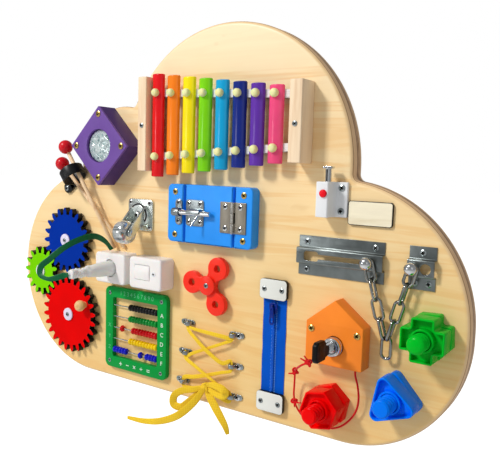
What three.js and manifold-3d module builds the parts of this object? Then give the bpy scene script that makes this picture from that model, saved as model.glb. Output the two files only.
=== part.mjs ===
// A wooden busy board: a cloud-shaped plywood panel that hangs on a wall and carries toys to turn,
// push, slide, open and lace. Lengths are in millimetres and angles in degrees.
//
// Everything is drawn as it is seen from the front: x to the right, y up, z out of the board's face,
// with z = 0 on that face. One turned group then stands the drawing up, so that Z is up, the back
// of the board lies on y = 0 and the front looks along -Y.

import * as THREE from 'three';
import { mergeVertices } from 'three/addons/utils/BufferGeometryUtils.js';
import Module from 'manifold-3d';

const wasm = await Module();
wasm.setup();

// Play between pieces that move or fit into one another, and how far a cutting body overruns.
const play = 0.3;
const overrun = 1;

const board = {
  thickness: 25, edgeRound: 5, notch: 8,
  sideLobe: 141, sideX: 184.5, sideY: -86, leftLobe: 137.5, footLobe: 128,
  topLobe: 160, topX: 39, topY: 67,
  cornerLobe: 77, cornerX: -125, cornerY: 60,
};

const screw = { radius: 3.6, height: 1.8, smallRadius: 2.9, smallHeight: 1.4, topShare: 0.6, rimShare: 0.4 };

const lamp = {
  x: -139.5, y: 85.3, side: 70.8, height: 28.5, window: 42, floor: 4, recess: 1.5, dome: 2.4,
  travel: 2, screwInset: 10,
};

const gear = {
  module: 4.1, pressureAngle: 20, tipShare: 1, rootShare: 1.25, toothPlay: 0.5, spread: 0.6,
  thickness: 8, standOff: 2, bore: 6.4, shaft: 5.8, spacer: 10, cap: 17.5, capHeight: 2,
  redTeeth: 24, limeTeeth: 15, blueTeeth: 20, redX: -216.5, redY: -147.4,
  limeBearing: 137.5, blueBearing: 42.5, redPhase: 6.7,
  knobReach: 36.6, knobBearing: 29, knob: 15, knobNeck: 9, knobHeight: 14,
};

const caster = {
  x: -90.2, y: 0, width: 41.5, height: 40, plate: 2.5, corner: 4, screwInset: 4.4,
  race: 30, raceInner: 22, raceHeight: 3, post: 6, postHead: 10, postHeadHeight: 2,
  crown: 26, metal: 2, forkGap: 19, axleY: -20.5, axleZ: 30, eye: 10,
  wheel: 29, tread: 17, wheelRound: 4, hub: 5.6, axle: 5, axleHead: 8.5, axleHeadHeight: 3,
};

const wallBox = {
  socketX: -122.3, switchX: -61.4, y: -70.2, width: 53, height: 39.5, depth: 24, corner: 5, round: 2.5,
  rockerX: -65.7, rockerY: -69, rockerWidth: 24.5, rockerHeight: 18, rockerDepth: 8, rockerCrown: 1.4,
  rockerGap: 0.5, rockerBack: 1.4, screwX: -46.6, recess: 23, recessDepth: 5, pinBore: 4.8, pinDepth: 12,
};

const plug = {
  nose: 16.5, shoulder: 17.4, body: 43, neck: 12, sleeve: 10.4, sleeveLength: 25, tipRound: 1.5,
  pin: 4, pinLength: 10.5, pinSpacing: 16.6, noseChamfer: 1,
};

const ribbonWidth = 4;

const latch = {
  x: -33.5, y: -27, height: 69, side: 23.6, gap: 3.2, door: 68.2, thickness: 14.5, corner: 6, round: 1.2,
  doorGap: 0.4, screwInsetX: 11.5, screwInsetY: 9,
};

const bolt = {
  y: 9.3, sheet: 1.2, rod: 6, rodLength: 44.2, strapPlay: 0.4, strapWall: 1.2, keeperX: -21, keeperWidth: 10,
  keeperHeight: 31, plateX: -4.5, plateWidth: 26, plateHeight: 30.7, plateCorner: 3, strapX: 1.5,
  strapLength: 18.5, mouthShare: 0.15, handle: 2.2, handleLength: 18, handleReach: 12,
  handleLean: -0.28, handleDrop: -0.82, handleOut: 0.5, throw: 16.3, screwInset: 4.6,
};

const hinge = {
  y: -10.5, height: 35.3, leaf: 1.2, leafWidth: 15, knuckle: 4.8, pin: 1.8, knuckles: 3, screwInset: 5.5,
  endGap: 0.4,
};

const pushLock = {
  x: 169.5, y: 16.5, height: 36, body: 14, width: 27, depth: 22, flange: 4, shoulder: 10, foot: 1.8,
  button: 8, buttonX: 8.7, buttonY: 24.2, buttonDepth: 7, buttonProud: 2.2, travel: 1.6, stop: 0.5,
  pin: 6.4, pinX: 8.6, pinZ: 12, pinOut: 13.6, pinIn: 9, head: 11, headDepth: 8, headHeight: 2.4,
  screwX: 20.6, screwInset: 6, shaftDepth: 27,
};

const nameplate = { x: 197.5, y: 9.6, width: 47.8, height: 24.7, thickness: 3, corner: 3 };

const track = {
  x: 141.7, y: -47.7, width: 97.1, height: 42.2, sheet: 1.2, flange: 12.4, rise: 7.2, slot: 5,
  keyhole: 10.4, keyholeX: 9, keyholeLength: 17, slotInset: 11.7, screwInsetX: 10, screwInsetY: 6.2,
};

const bracket = { x: 263.7, width: 26.8, knobX: 6.6, holeX: 18.2, hole: 10.6, screwInset: 6.5 };

const stud = { neck: 4, neckLength: 3.4, knob: 13, knobDepth: 10, foot: 8.6, footDepth: 2, inset: 14.3 };

const link = { wire: 2.5, innerWidth: 7, innerLength: 19.4, lap: 0.15, count: 4, meetGap: 0.7, meetShift: 0.8 };

const zip = {
  x: 113.6, y: -57.4, plateWidth: 34.5, plateHeight: 22.5, plate: 3, corner: 4, tapeWidth: 28,
  tape: 2, length: 151.3, overlap: 20, teeth: 6, teethProud: 1, slider: 10, sliderLength: 13,
  sliderDepth: 3, sliderDrop: 33, pullWidth: 6, pullLength: 21, pull: 1.6, screwInsetX: 6, screwInsetY: 11,
};

const house = {
  x: 195.5, y: -136, width: 64, wall: 43.8, height: 69, depth: 19, round: 1, lockX: 1, lockY: 21.7,
  barrel: 20, barrelProud: 8, barrelBack: 2, core: 12.4, screwInsetX: 6.3, screwRise: 36.3,
};

const key = {
  bow: 6, bowHeight: 21, bowDepth: 20, bowRound: 2, bowRise: 2, standOff: 15, blade: 2.4, bladeHeight: 7.5,
  coreDepth: 9, bladeIn: 3,
};

const stringWidth = 1.8;

const toy = {
  headDepth: 12, shaft: 17.6, shaftEnd: 52, shaftChamfer: 1.5, nutDepth: 20, wall: 2, floor: 9, collar: 2.2,
  collarHeight: 20.5, boreGap: 0.5, hexagon: 20.9, hexagonHead: 22.6, cross: 22, crossArm: 11.2,
  crossHead: 23, triangle: 23.5, triangleHead: 24, triangleCorner: 6.5, hexagonCorner: 1.4, crossCorner: 2.2,
};

const toyPlaces = {
  red: { x: 187.5, y: -181, nutTurn: 11.8, headTurn: 18.7 },
  green: { x: 290.5, y: -89.5, nutTurn: 0, headTurn: 3 },
  blue: { x: 262, y: -155.5, nutTurn: 109, headTurn: 100 },
};

const spinner = {
  x: 25.9, y: -75, lobe: 13.5, reach: 24.4, waist: 10, thickness: 7, standOff: 3, hole: 9, bore: 8,
  shaft: 7.2, cap: 23, capHeight: 3, angle: 178,
};

const abacus = {
  x: -147, y: -207, width: 107.6, height: 109.1, thickness: 7, corner: 8, openX: 14, openY: 15,
  openWidth: 78, openHeight: 80, wire: 1.6, wires: 5, wirePitch: 15, wireTop: 10.2, wireZ: 4.9,
  bead: 8.6, beadRim: 6.6, beadLength: 5, beadLap: 0.1, beadBore: 2.2, screwInset: 8.6,
};

const xylophone = {
  leftX: -74, leftY: 56, leftHeight: 112, rightX: 137, rightY: 70.5, rightHeight: 85, post: 13.5,
  depth: 26, round: 1, rail: 9, railBack: 4, railFront: 13, firstBarX: -51, pitch: 23.75, bars: 8,
  barWidth: 16, bar: 7, barRound: 2, longest: 122, shortest: 83, middleY: 110.5,
  upperLeft: 149.2, upperRight: 143, lowerLeft: 73.9, lowerRight: 85.6, pin: 8, pinHeight: 4.5,
};

const mallet = {
  ball: 18.4, stick: 4.6,
  upperBall: [-208.5, 83.4, 22], upperEnd: [-133, -44.6, 6.4],
  lowerBall: [-227, 61.1, 12], lowerEnd: [-119, -43, 2.7],
};

const clip = {
  x: -200.4, y: 48, inner: 29, wall: 1.6, width: 12.6, tab: 40, tabThickness: 3.2, screwReach: 34, turn: 37,
  sink: 0.3,
};

const eyelet = { inner: 6, wall: 1.5, width: 7, tab: 11, tabThickness: 1.5, screwReach: 7.5, sink: 0.3 };

const lacing = {
  leftX: -6, leftStep: -3.2, rightX: 60, leftY: -126.5, rightY: -130, pitch: 37, rows: 3, width: 3.4,
  knot: 11, knotX: 26.5, knotY: -197.5, knotZ: 9,
};

const colours = {
  ply: 0xf0cf98, purple: 0x7a5aa6, clear: 0xd8e2e4, red: 0xd9101a, lime: 0x78d400, blue: 0x0a3aa8,
  beech: 0xe8c080, white: 0xece8e4, zinc: 0xb9bec2, green: 0x0b8f45, sky: 0x3596f2, steel: 0x8b8f92,
  black: 0x1b1b1d, orange: 0xff8426, yellow: 0xffd23c, royal: 0x0f52c8, cream: 0xe8e4a8, brass: 0xb99a4a,
};

const radians = (degrees) => degrees * Math.PI / 180;
const fullTurn = 2 * Math.PI;

// Geometry helpers

// A mesh's triangles as one list of shared corners, without the slivers that poles and seams leave.
function welded(geometry) {
  const bare = geometry.clone();
  for (const name of Object.keys(bare.attributes)) {
    if (name !== 'position') bare.deleteAttribute(name);
  }
  const merged = mergeVertices(bare);
  const kept = [];
  const index = merged.index.array;
  for (let i = 0; i < index.length; i += 3) {
    const [a, b, c] = [index[i], index[i + 1], index[i + 2]];
    if (a !== b && b !== c && c !== a) kept.push(a, b, c);
  }
  merged.setIndex(kept);
  return merged;
}

function signedVolume(geometry) {
  const position = geometry.attributes.position;
  const index = geometry.index.array;
  const [a, b, c] = [new THREE.Vector3(), new THREE.Vector3(), new THREE.Vector3()];
  let volume = 0;
  for (let i = 0; i < index.length; i += 3) {
    a.fromBufferAttribute(position, index[i]);
    b.fromBufferAttribute(position, index[i + 1]);
    c.fromBufferAttribute(position, index[i + 2]);
    volume += a.dot(b.cross(c)) / 6;
  }
  return volume;
}

// The same body with its faces pointing out.
function facingOut(geometry) {
  const body = welded(geometry);
  if (signedVolume(body) < 0) body.setIndex(Array.from(body.index.array).reverse());
  return body;
}

function toSolid(geometry) {
  const body = facingOut(geometry);
  const mesh = new wasm.Mesh({
    numProp: 3,
    vertProperties: new Float32Array(body.attributes.position.array),
    triVerts: new Uint32Array(body.index.array),
  });
  return new wasm.Manifold(mesh);
}

function toGeometry(solid) {
  const mesh = solid.getMesh();
  const geometry = new THREE.BufferGeometry();
  geometry.setAttribute('position', new THREE.BufferAttribute(new Float32Array(mesh.vertProperties), 3));
  geometry.setIndex(Array.from(mesh.triVerts));
  return geometry;
}

function joined(...geometries) {
  const [first, ...others] = geometries.map(toSolid);
  return toGeometry(others.reduce((body, other) => body.add(other), first));
}

function cut(geometry, ...tools) {
  return toGeometry(tools.map(toSolid).reduce((body, tool) => body.subtract(tool), toSolid(geometry)));
}

function circlePoints(x, y, radius, sides) {
  return arcPoints(x, y, radius, 0, fullTurn, sides).slice(0, -1);
}

function arcPoints(x, y, radius, from, to, steps) {
  const points = [];
  for (let i = 0; i <= steps; i += 1) {
    const angle = from + (to - from) * i / steps;
    points.push(new THREE.Vector2(x + radius * Math.cos(angle), y + radius * Math.sin(angle)));
  }
  return points;
}

// A polygon whose corners are rounded by arcs of one radius, outer corners and inner ones alike.
function roundedPolygon(corners, radius, steps = 2) {
  const points = [];
  corners.forEach((corner, i) => {
    const before = corners[(i + corners.length - 1) % corners.length];
    const after = corners[(i + 1) % corners.length];
    const toBefore = before.clone().sub(corner).normalize();
    const toAfter = after.clone().sub(corner).normalize();
    const half = Math.acos(THREE.MathUtils.clamp(toBefore.dot(toAfter), -1, 1)) / 2;
    const middle = toBefore.clone().add(toAfter).normalize();
    const centre = corner.clone().addScaledVector(middle, radius / Math.sin(half));
    const start = corner.clone().addScaledVector(toBefore, radius / Math.tan(half)).sub(centre);
    const end = corner.clone().addScaledVector(toAfter, radius / Math.tan(half)).sub(centre);
    let sweep = end.angle() - start.angle();
    if (sweep > Math.PI) sweep -= fullTurn;
    if (sweep < -Math.PI) sweep += fullTurn;
    points.push(...arcPoints(centre.x, centre.y, radius, start.angle(), start.angle() + sweep, steps));
  });
  return points;
}

function regularCorners(sides, radius, turn) {
  const corners = [];
  for (let i = 0; i < sides; i += 1) {
    const angle = radians(turn) + fullTurn * i / sides;
    corners.push(new THREE.Vector2(radius * Math.cos(angle), radius * Math.sin(angle)));
  }
  return corners;
}

// A rectangle from its lower left corner, with round corners.
function rectanglePoints(x, y, width, height, corner, steps = 2) {
  const corners = [
    new THREE.Vector2(x, y), new THREE.Vector2(x + width, y),
    new THREE.Vector2(x + width, y + height), new THREE.Vector2(x, y + height),
  ];
  return corner > 0 ? roundedPolygon(corners, corner, steps) : corners;
}

// A flat piece of the given outline, its back at height z.
function slab(points, depth, z, holes = []) {
  const shape = new THREE.Shape(points);
  shape.holes = holes.map((hole) => new THREE.Path(hole));
  return new THREE.ExtrudeGeometry(shape, { depth, bevelEnabled: false }).translate(0, 0, z);
}

// The same with rounded front and back edges; the outline keeps its size.
function softSlab(points, depth, round, z, segments = 1) {
  const shape = new THREE.Shape(points);
  const settings = {
    depth: depth - 2 * round, bevelEnabled: true, bevelThickness: round, bevelSize: round,
    bevelOffset: -round, bevelSegments: segments,
  };
  return new THREE.ExtrudeGeometry(shape, settings).translate(0, 0, z + round);
}

function box(width, height, depth, x, y, z) {
  return new THREE.BoxGeometry(width, height, depth).translate(x, y, z + depth / 2);
}

// A round bar that stands out of the board, from height z.
function drum(diameter, depth, x, y, z, sides = 16) {
  const bar = new THREE.CylinderGeometry(diameter / 2, diameter / 2, depth, sides);
  return bar.rotateX(Math.PI / 2).translate(x, y, z + depth / 2);
}

function barAlongX(diameter, length, x, y, z, sides = 12) {
  const bar = new THREE.CylinderGeometry(diameter / 2, diameter / 2, length, sides);
  return bar.rotateZ(Math.PI / 2).translate(x + length / 2, y, z);
}

function barAlongY(diameter, length, x, y, z, sides = 12) {
  return new THREE.CylinderGeometry(diameter / 2, diameter / 2, length, sides).translate(x, y + length / 2, z);
}

// A turned piece from pairs of radius and height.
function turned(profile, x, y, z, sides = 16) {
  const points = profile.map(([radius, height]) => new THREE.Vector2(radius, height));
  return new THREE.LatheGeometry(points, sides).rotateX(Math.PI / 2).translate(x, y, z);
}

// A round cord along hand-placed points.
function cord(points, diameter, steps, sides = 8) {
  const curve = new THREE.CatmullRomCurve3(points.map((p) => new THREE.Vector3(...p)), false, 'centripetal');
  const section = new THREE.Shape(circlePoints(0, 0, diameter / 2, sides));
  return new THREE.ExtrudeGeometry(section, { steps, bevelEnabled: false, extrudePath: curve });
}

const drawing = new THREE.Group();
drawing.rotation.x = Math.PI / 2;
drawing.position.y = -board.thickness;

function add(name, geometry, colour, roughness = 0.5, metalness = 0, parent = drawing) {
  const material = new THREE.MeshStandardMaterial({ color: colour, roughness, metalness });
  const mesh = new THREE.Mesh(facingOut(geometry), material);
  mesh.name = name;
  mesh.geometry.computeVertexNormals();
  parent.add(mesh);
  return mesh;
}

function place(x, y, turn = 0) {
  const group = new THREE.Group();
  group.position.set(x, y, 0);
  group.rotation.z = radians(turn);
  drawing.add(group);
  return group;
}

// The head of a screw that holds a piece down, seated at height z and one with that piece.
function screwHead(x, y, z, small = false) {
  const radius = small ? screw.smallRadius : screw.radius;
  const height = small ? screw.smallHeight : screw.height;
  const profile = [[0, -overrun], [radius, -overrun], [radius, height * screw.rimShare],
    [radius * screw.topShare, height], [0, height]];
  return turned(profile, x, y, z, 8);
}

// Board

// The circle that rounds the notch between two lobes, met when the outline runs from a to b.
function notchBetween(a, b) {
  const along = new THREE.Vector2(b.x - a.x, b.y - a.y);
  const distance = along.length();
  along.normalize();
  const toA = a.r + board.notch;
  const toB = b.r + board.notch;
  const foot = (toA * toA - toB * toB + distance * distance) / (2 * distance);
  const side = Math.sqrt(toA * toA - foot * foot);
  return {
    x: a.x + along.x * foot + along.y * side,
    y: a.y + along.y * foot - along.x * side,
    r: board.notch,
  };
}

const bearing = (from, to) => Math.atan2(to.y - from.y, to.x - from.x);

function boardPoints() {
  const lobes = [
    { x: board.sideX, y: board.sideY, r: board.sideLobe, steps: 14 },
    { x: board.topX, y: board.topY, r: board.topLobe, steps: 22 },
    { x: board.cornerX, y: board.cornerY, r: board.cornerLobe, steps: 9 },
    { x: -board.sideX, y: board.sideY, r: board.leftLobe, steps: 22 },
  ];
  // The right lobe's lower quarter is a smaller arc between the board's foot and its side.
  const footX = board.sideX + board.sideLobe - board.footLobe;
  const footY = board.sideY - board.leftLobe + board.footLobe;
  const points = arcPoints(footX, footY, board.footLobe, -Math.PI / 2, 0, 12);
  let start = 0;
  lobes.forEach((lobe, i) => {
    const next = lobes[i + 1];
    const notch = next && notchBetween(lobe, next);
    let end = notch ? bearing(lobe, notch) : 3 * Math.PI / 2;
    while (end < start) end += fullTurn;
    points.push(...arcPoints(lobe.x, lobe.y, lobe.r, start, end, lobe.steps));
    if (!notch) return;
    const from = bearing(notch, lobe);
    let to = bearing(notch, next);
    while (to > from) to -= fullTurn;
    points.push(...arcPoints(notch.x, notch.y, notch.r, from, to, 4).slice(1, -1));
    start = bearing(next, notch);
  });
  return points;
}

function makeBoard() {
  add('board', softSlab(boardPoints(), board.thickness, board.edgeRound, -board.thickness), colours.ply, 0.55);
}

// Push light in its box

function makeLamp() {
  const group = place(lamp.x, lamp.y, 45);
  const half = lamp.side / 2;
  const body = softSlab(rectanglePoints(-half, -half, lamp.side, lamp.side, 0), lamp.height, play, 0);
  const well = drum(lamp.window, lamp.height, 0, 0, lamp.floor, 28);
  const reach = half * Math.SQRT2 - lamp.screwInset;
  const screws = arcPoints(0, 0, reach, Math.PI / 4, fullTurn + Math.PI / 4, 4).slice(1);
  const heads = screws.map((at) => screwHead(at.x, at.y, lamp.height));
  add('light_box', joined(cut(body, well), ...heads), colours.purple, 0.45, 0, group);

  const bottom = lamp.floor + lamp.travel + play;
  const rim = lamp.height - lamp.recess - lamp.dome;
  const radius = lamp.window / 2 - play;
  const profile = [
    [0, bottom], [radius, bottom], [radius, rim], [radius * 0.6, rim + lamp.dome * 0.7], [0, rim + lamp.dome],
  ];
  add('light_lens', turned(profile, 0, 0, 0, 28), colours.clear, 0.15, 0.3, group);
}

// Gear train

const pitchRadius = (teeth) => gear.module * teeth / 2;

// One closed toothed outline; phase is the bearing of its first tooth, in radians.
function gearPoints(teeth, phase) {
  const pitch = pitchRadius(teeth);
  const pressure = radians(gear.pressureAngle);
  const base = pitch * Math.cos(pressure);
  const tip = pitch + gear.module * gear.tipShare;
  const root = pitch - gear.module * gear.rootShare;
  const involute = (radius) => {
    const angle = Math.acos(Math.min(1, base / radius));
    return Math.tan(angle) - angle;
  };
  const halfAtPitch = Math.PI / teeth / 2 - gear.toothPlay / (2 * pitch);
  const halfAt = (radius) => halfAtPitch + involute(pitch) - involute(Math.max(radius, base));
  const radii = [root, base, pitch, tip];
  const points = [];
  for (let i = 0; i < teeth; i += 1) {
    const middle = phase + fullTurn * i / teeth;
    for (const radius of radii) points.push(polar(radius, middle - halfAt(radius)));
    for (const radius of [...radii].reverse()) points.push(polar(radius, middle + halfAt(radius)));
  }
  return points;
}

const polar = (radius, angle) => new THREE.Vector2(radius * Math.cos(angle), radius * Math.sin(angle));

// The phase that puts a gap of the second gear where a tooth of the first one points.
function meshedPhase(phase, teeth, nextTeeth, towards) {
  const step = (towards - phase) * teeth / fullTurn;
  const offset = step - Math.floor(step);
  return towards + Math.PI + (offset + 0.5) * fullTurn / nextTeeth;
}

function makeGear(name, at, teeth, phase, colour) {
  const group = place(at.x, at.y);
  const bore = circlePoints(0, 0, gear.bore / 2, 14);
  add(name, slab(gearPoints(teeth, phase), gear.thickness, gear.standOff, [bore]), colour, 0.4, 0, group);
}

function makeGearAxle(name, at) {
  const front = gear.standOff + gear.thickness + play;
  const profile = [
    [0, 0], [gear.spacer / 2, 0], [gear.spacer / 2, gear.standOff - play], [gear.shaft / 2, gear.standOff - play],
    [gear.shaft / 2, front], [gear.cap / 2, front], [gear.cap / 2, front + gear.capHeight], [0, front + gear.capHeight],
  ];
  const head = screwHead(at.x, at.y, front + gear.capHeight, true);
  add(name, joined(turned(profile, at.x, at.y, 0, 16), head), colours.white, 0.4);
}

function makeGears() {
  const away = (from, teeth, nextTeeth, angle) => {
    const distance = pitchRadius(teeth) + pitchRadius(nextTeeth) + gear.spread;
    return { x: from.x + distance * Math.cos(angle), y: from.y + distance * Math.sin(angle) };
  };
  const toLime = radians(gear.limeBearing);
  const toBlue = radians(gear.blueBearing);
  const red = { x: gear.redX, y: gear.redY };
  const lime = away(red, gear.redTeeth, gear.limeTeeth, toLime);
  const blue = away(lime, gear.limeTeeth, gear.blueTeeth, toBlue);
  const redPhase = radians(gear.redPhase);
  const limePhase = meshedPhase(redPhase, gear.redTeeth, gear.limeTeeth, toLime);
  const bluePhase = meshedPhase(limePhase, gear.limeTeeth, gear.blueTeeth, toBlue);
  makeGear('gear_red', red, gear.redTeeth, redPhase, colours.red);
  makeGear('gear_lime', lime, gear.limeTeeth, limePhase, colours.lime);
  makeGear('gear_blue', blue, gear.blueTeeth, bluePhase, colours.blue);
  makeGearAxle('gear_axle_red', red);
  makeGearAxle('gear_axle_lime', lime);
  makeGearAxle('gear_axle_blue', blue);

  const angle = radians(gear.knobBearing);
  const [neck, ball, tall] = [gear.knobNeck / 2, gear.knob / 2, gear.knobHeight];
  const profile = [
    [0, 0], [neck, 0], [neck, tall * 0.2], [ball * 0.9, tall * 0.35], [ball, tall * 0.6],
    [ball * 0.75, tall * 0.88], [ball * 0.35, tall], [0, tall],
  ];
  const x = red.x + gear.knobReach * Math.cos(angle);
  const y = red.y + gear.knobReach * Math.sin(angle);
  add('gear_knob', turned(profile, x, y, gear.standOff + gear.thickness, 14), colours.beech, 0.5);
}

// Caster

function casterArm(side) {
  const inner = caster.forkGap / 2;
  const back = caster.plate + caster.raceHeight + play;
  const half = caster.crown / 2;
  const eye = caster.eye / 2;
  const reach = Math.hypot(caster.axleY, caster.axleZ - back);
  const lean = Math.asin((half - eye) / reach);
  const slope = Math.atan2(caster.axleZ - back, caster.axleY);
  const outline = [
    new THREE.Vector2(-half * 0.8, back), new THREE.Vector2(half * 0.8, back),
    ...arcPoints(caster.axleY, caster.axleZ, eye, slope - Math.PI / 2 + lean, slope + Math.PI / 2 - lean, 6),
  ];
  const arm = slab(outline, caster.metal, 0);
  arm.applyMatrix4(new THREE.Matrix4().makeBasis(
    new THREE.Vector3(0, 1, 0), new THREE.Vector3(0, 0, 1), new THREE.Vector3(1, 0, 0)));
  return arm.translate(side > 0 ? inner : -inner - caster.metal, 0, 0);
}

function makeCaster() {
  const group = place(caster.x, caster.y);
  const { width, height, plate } = caster;
  const top = plate + caster.raceHeight;
  const crownTop = top + play + caster.metal;
  const postTop = crownTop + play;
  const pad = slab(rectanglePoints(-width / 2, -height / 2, width, height, caster.corner), plate, 0);
  const post = turned([
    [0, 0], [caster.race / 2, 0], [caster.race / 2, top], [caster.raceInner / 2, top],
    [caster.raceInner / 2, plate], [caster.post / 2, plate], [caster.post / 2, postTop],
    [caster.postHead / 2, postTop], [caster.postHead / 2 * 0.7, postTop + caster.postHeadHeight],
    [0, postTop + caster.postHeadHeight],
  ], 0, 0, 0, 20);
  const heads = [[-1, 1], [1, 1], [1, -1], [-1, -1]].map(([sx, sy]) => screwHead(
    sx * (width / 2 - caster.screwInset), sy * (height / 2 - caster.screwInset), plate, true));
  add('caster_plate', joined(pad, post, ...heads), colours.zinc, 0.3, 0.9, group);

  const crownZ = top + play;
  const crown = joined(
    drum(caster.crown, caster.metal, 0, 0, crownZ, 20),
    casterArm(1), casterArm(-1),
  );
  const fork = cut(crown, drum(caster.post + 2 * play, caster.raceHeight * 3, 0, 0, top - overrun, 16));
  const span = caster.forkGap / 2 + caster.metal;
  const head = caster.axleHeadHeight;
  const axle = joined(
    barAlongX(caster.axle, 2 * span + overrun, -span - overrun / 2, caster.axleY, caster.axleZ),
    barAlongX(caster.axleHead, head, span, caster.axleY, caster.axleZ, 6),
    barAlongX(caster.axleHead, head, -span - head, caster.axleY, caster.axleZ, 6),
  );
  add('caster_fork', joined(fork, axle), colours.zinc, 0.3, 0.9, group);

  const [outer, hub] = [caster.wheel / 2, caster.hub / 2];
  const [half, round] = [caster.tread / 2, caster.wheelRound];
  const wheel = new THREE.LatheGeometry([
    [hub, -half], [outer - round, -half], [outer, -half + round], [outer, half - round], [outer - round, half],
    [hub, half], [hub, -half],
  ].map(([radius, x]) => new THREE.Vector2(radius, x)), 20);
  wheel.rotateZ(Math.PI / 2).translate(0, caster.axleY, caster.axleZ);
  add('caster_wheel', wheel, colours.clear, 0.2, 0, group);

}

// Socket, plug and light switch

function makeWallBoxes() {
  const { width, height, depth, corner, round, y } = wallBox;
  const shell = (x) => softSlab(
    rectanglePoints(x - width / 2, y - height / 2, width, height, corner, 3), depth, round, 0, 2);
  const recess = drum(wallBox.recess, wallBox.recessDepth + overrun, wallBox.socketX, y, depth - wallBox.recessDepth, 24);
  const recessFloor = depth - wallBox.recessDepth;
  const pinBores = [-1, 1].map((side) => drum(
    wallBox.pinBore, wallBox.pinDepth + overrun, wallBox.socketX,
    y + side * plug.pinSpacing / 2, recessFloor - wallBox.pinDepth, 10));
  const socket = cut(shell(wallBox.socketX), recess, ...pinBores);

  const gap = wallBox.rockerGap;
  const pocketDepth = wallBox.rockerDepth - wallBox.rockerCrown + wallBox.rockerBack;
  const pocket = box(
    wallBox.rockerWidth + 2 * gap, wallBox.rockerHeight + 2 * gap, pocketDepth + overrun,
    wallBox.rockerX, wallBox.rockerY, depth - pocketDepth);
  add('socket_box', socket, colours.white, 0.35);
  const switchHead = screwHead(wallBox.screwX, wallBox.rockerY, depth, true);
  add('switch_box', joined(cut(shell(wallBox.switchX), pocket), switchHead), colours.white, 0.35);

  const half = wallBox.rockerHeight / 2;
  const back = depth - pocketDepth + wallBox.rockerBack;
  const profile = [
    new THREE.Vector2(-half, back), new THREE.Vector2(half, back), new THREE.Vector2(half, depth),
    new THREE.Vector2(0, depth + wallBox.rockerCrown), new THREE.Vector2(-half, depth),
  ];
  const rocker = slab(profile, wallBox.rockerWidth, -wallBox.rockerWidth / 2);
  rocker.applyMatrix4(new THREE.Matrix4().makeBasis(
    new THREE.Vector3(0, 1, 0), new THREE.Vector3(0, 0, 1), new THREE.Vector3(1, 0, 0)));
  add('switch_rocker', rocker.translate(wallBox.rockerX, wallBox.rockerY, 0), colours.white, 0.3);
}

const plugBack = wallBox.depth - wallBox.recessDepth + play;
const plugTip = plugBack + plug.body + plug.sleeveLength + plug.noseChamfer;

function makePlug() {
  const group = place(wallBox.socketX, wallBox.y);
  const neckZ = plugBack + plug.body;
  const body = turned([
    [0, plugBack], [plug.nose / 2, plugBack], [plug.shoulder / 2, plugBack + plug.noseChamfer],
    [plug.shoulder / 2, plugBack + plug.body * 0.3], [plug.neck / 2, neckZ],
    [plug.sleeve / 2, neckZ + plug.noseChamfer], [plug.sleeve / 2, plugTip - plug.tipRound],
    [plug.sleeve / 2 - plug.tipRound, plugTip], [0, plugTip],
  ], 0, 0, 0, 18);
  const flange = slab(rectanglePoints(
    -plug.nose / 2 + play, -plug.pinSpacing / 2 - plug.pin / 2, plug.nose - 2 * play,
    plug.pinSpacing + plug.pin, plug.nose / 3, 3), plug.noseChamfer * 3, plugBack);
  const pins = [-1, 1].map((side) => drum(
    plug.pin, plug.pinLength + overrun, 0, side * plug.pinSpacing / 2, plugBack - plug.pinLength, 10));
  const cleared = wallBox.recess / 2 - play;
  const limited = toSolid(flange).intersect(toSolid(drum(2 * cleared, plugTip, 0, 0, 0, 24)));
  add('socket_plug', joined(body, toGeometry(limited), ...pins), colours.white, 0.4, 0, group);
}

// Where the green ribbon runs, from the top of the socket box round to the end of the plug.
const ribbonRoute = [
  [-131, -47.9, 12], [-131, -36, 24], [-132.7, -28.5, 40], [-136, -31, 60], [-142, -40, 80], [-152, -54, 94],
  [-160, -64, 101], [-158, -73, 103], [-146, -77, 101], [-134, -74, 96], [-128, -71.5, plugTip + 3.5],
  [-122.3, -70.2, plugTip + 2.3],
];

function makeRibbon() {
  add('ribbon', cord(ribbonRoute, ribbonWidth, 22), colours.green, 0.6);
}

// Little door with its bolt and hinge

const latchDoorX = latch.x + latch.side + latch.gap;
const hingeX = latchDoorX + latch.door + latch.gap / 2;
const hingeZ = latch.thickness + hinge.knuckle / 2 + play / 2;
const rodZ = latch.thickness + bolt.sheet + bolt.rod / 2 + bolt.strapPlay;

// A rectangle whose corners are round on one side only: -1 left, 1 right, 0 both square.
function blockPoints(x, width, side) {
  const { y, height, corner } = latch;
  const right = x + width;
  const top = y + height;
  const square = (px, py) => [new THREE.Vector2(px, py)];
  const round = (px, py, from) => arcPoints(px, py, corner, radians(from), radians(from + 90), 3);
  return [
    ...(side < 0 ? round(x + corner, y + corner, 180) : square(x, y)),
    ...(side > 0 ? round(right - corner, y + corner, 270) : square(right, y)),
    ...(side > 0 ? round(right - corner, top - corner, 0) : square(right, top)),
    ...(side < 0 ? round(x + corner, top - corner, 90) : square(x, top)),
  ];
}

// A strap bent over the bolt's rod, on a flat plate.
function strapOver(x, length) {
  const inner = bolt.rod + 2 * bolt.strapPlay;
  return {
    outer: barAlongX(inner + 2 * bolt.strapWall, length, x, bolt.y, rodZ, 16),
    bore: barAlongX(inner, length + 2 * overrun, x - overrun, bolt.y, rodZ, 16),
  };
}

function leafPoints(x, width) {
  return rectanglePoints(x, hinge.y, width, hinge.height, 0);
}

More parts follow.
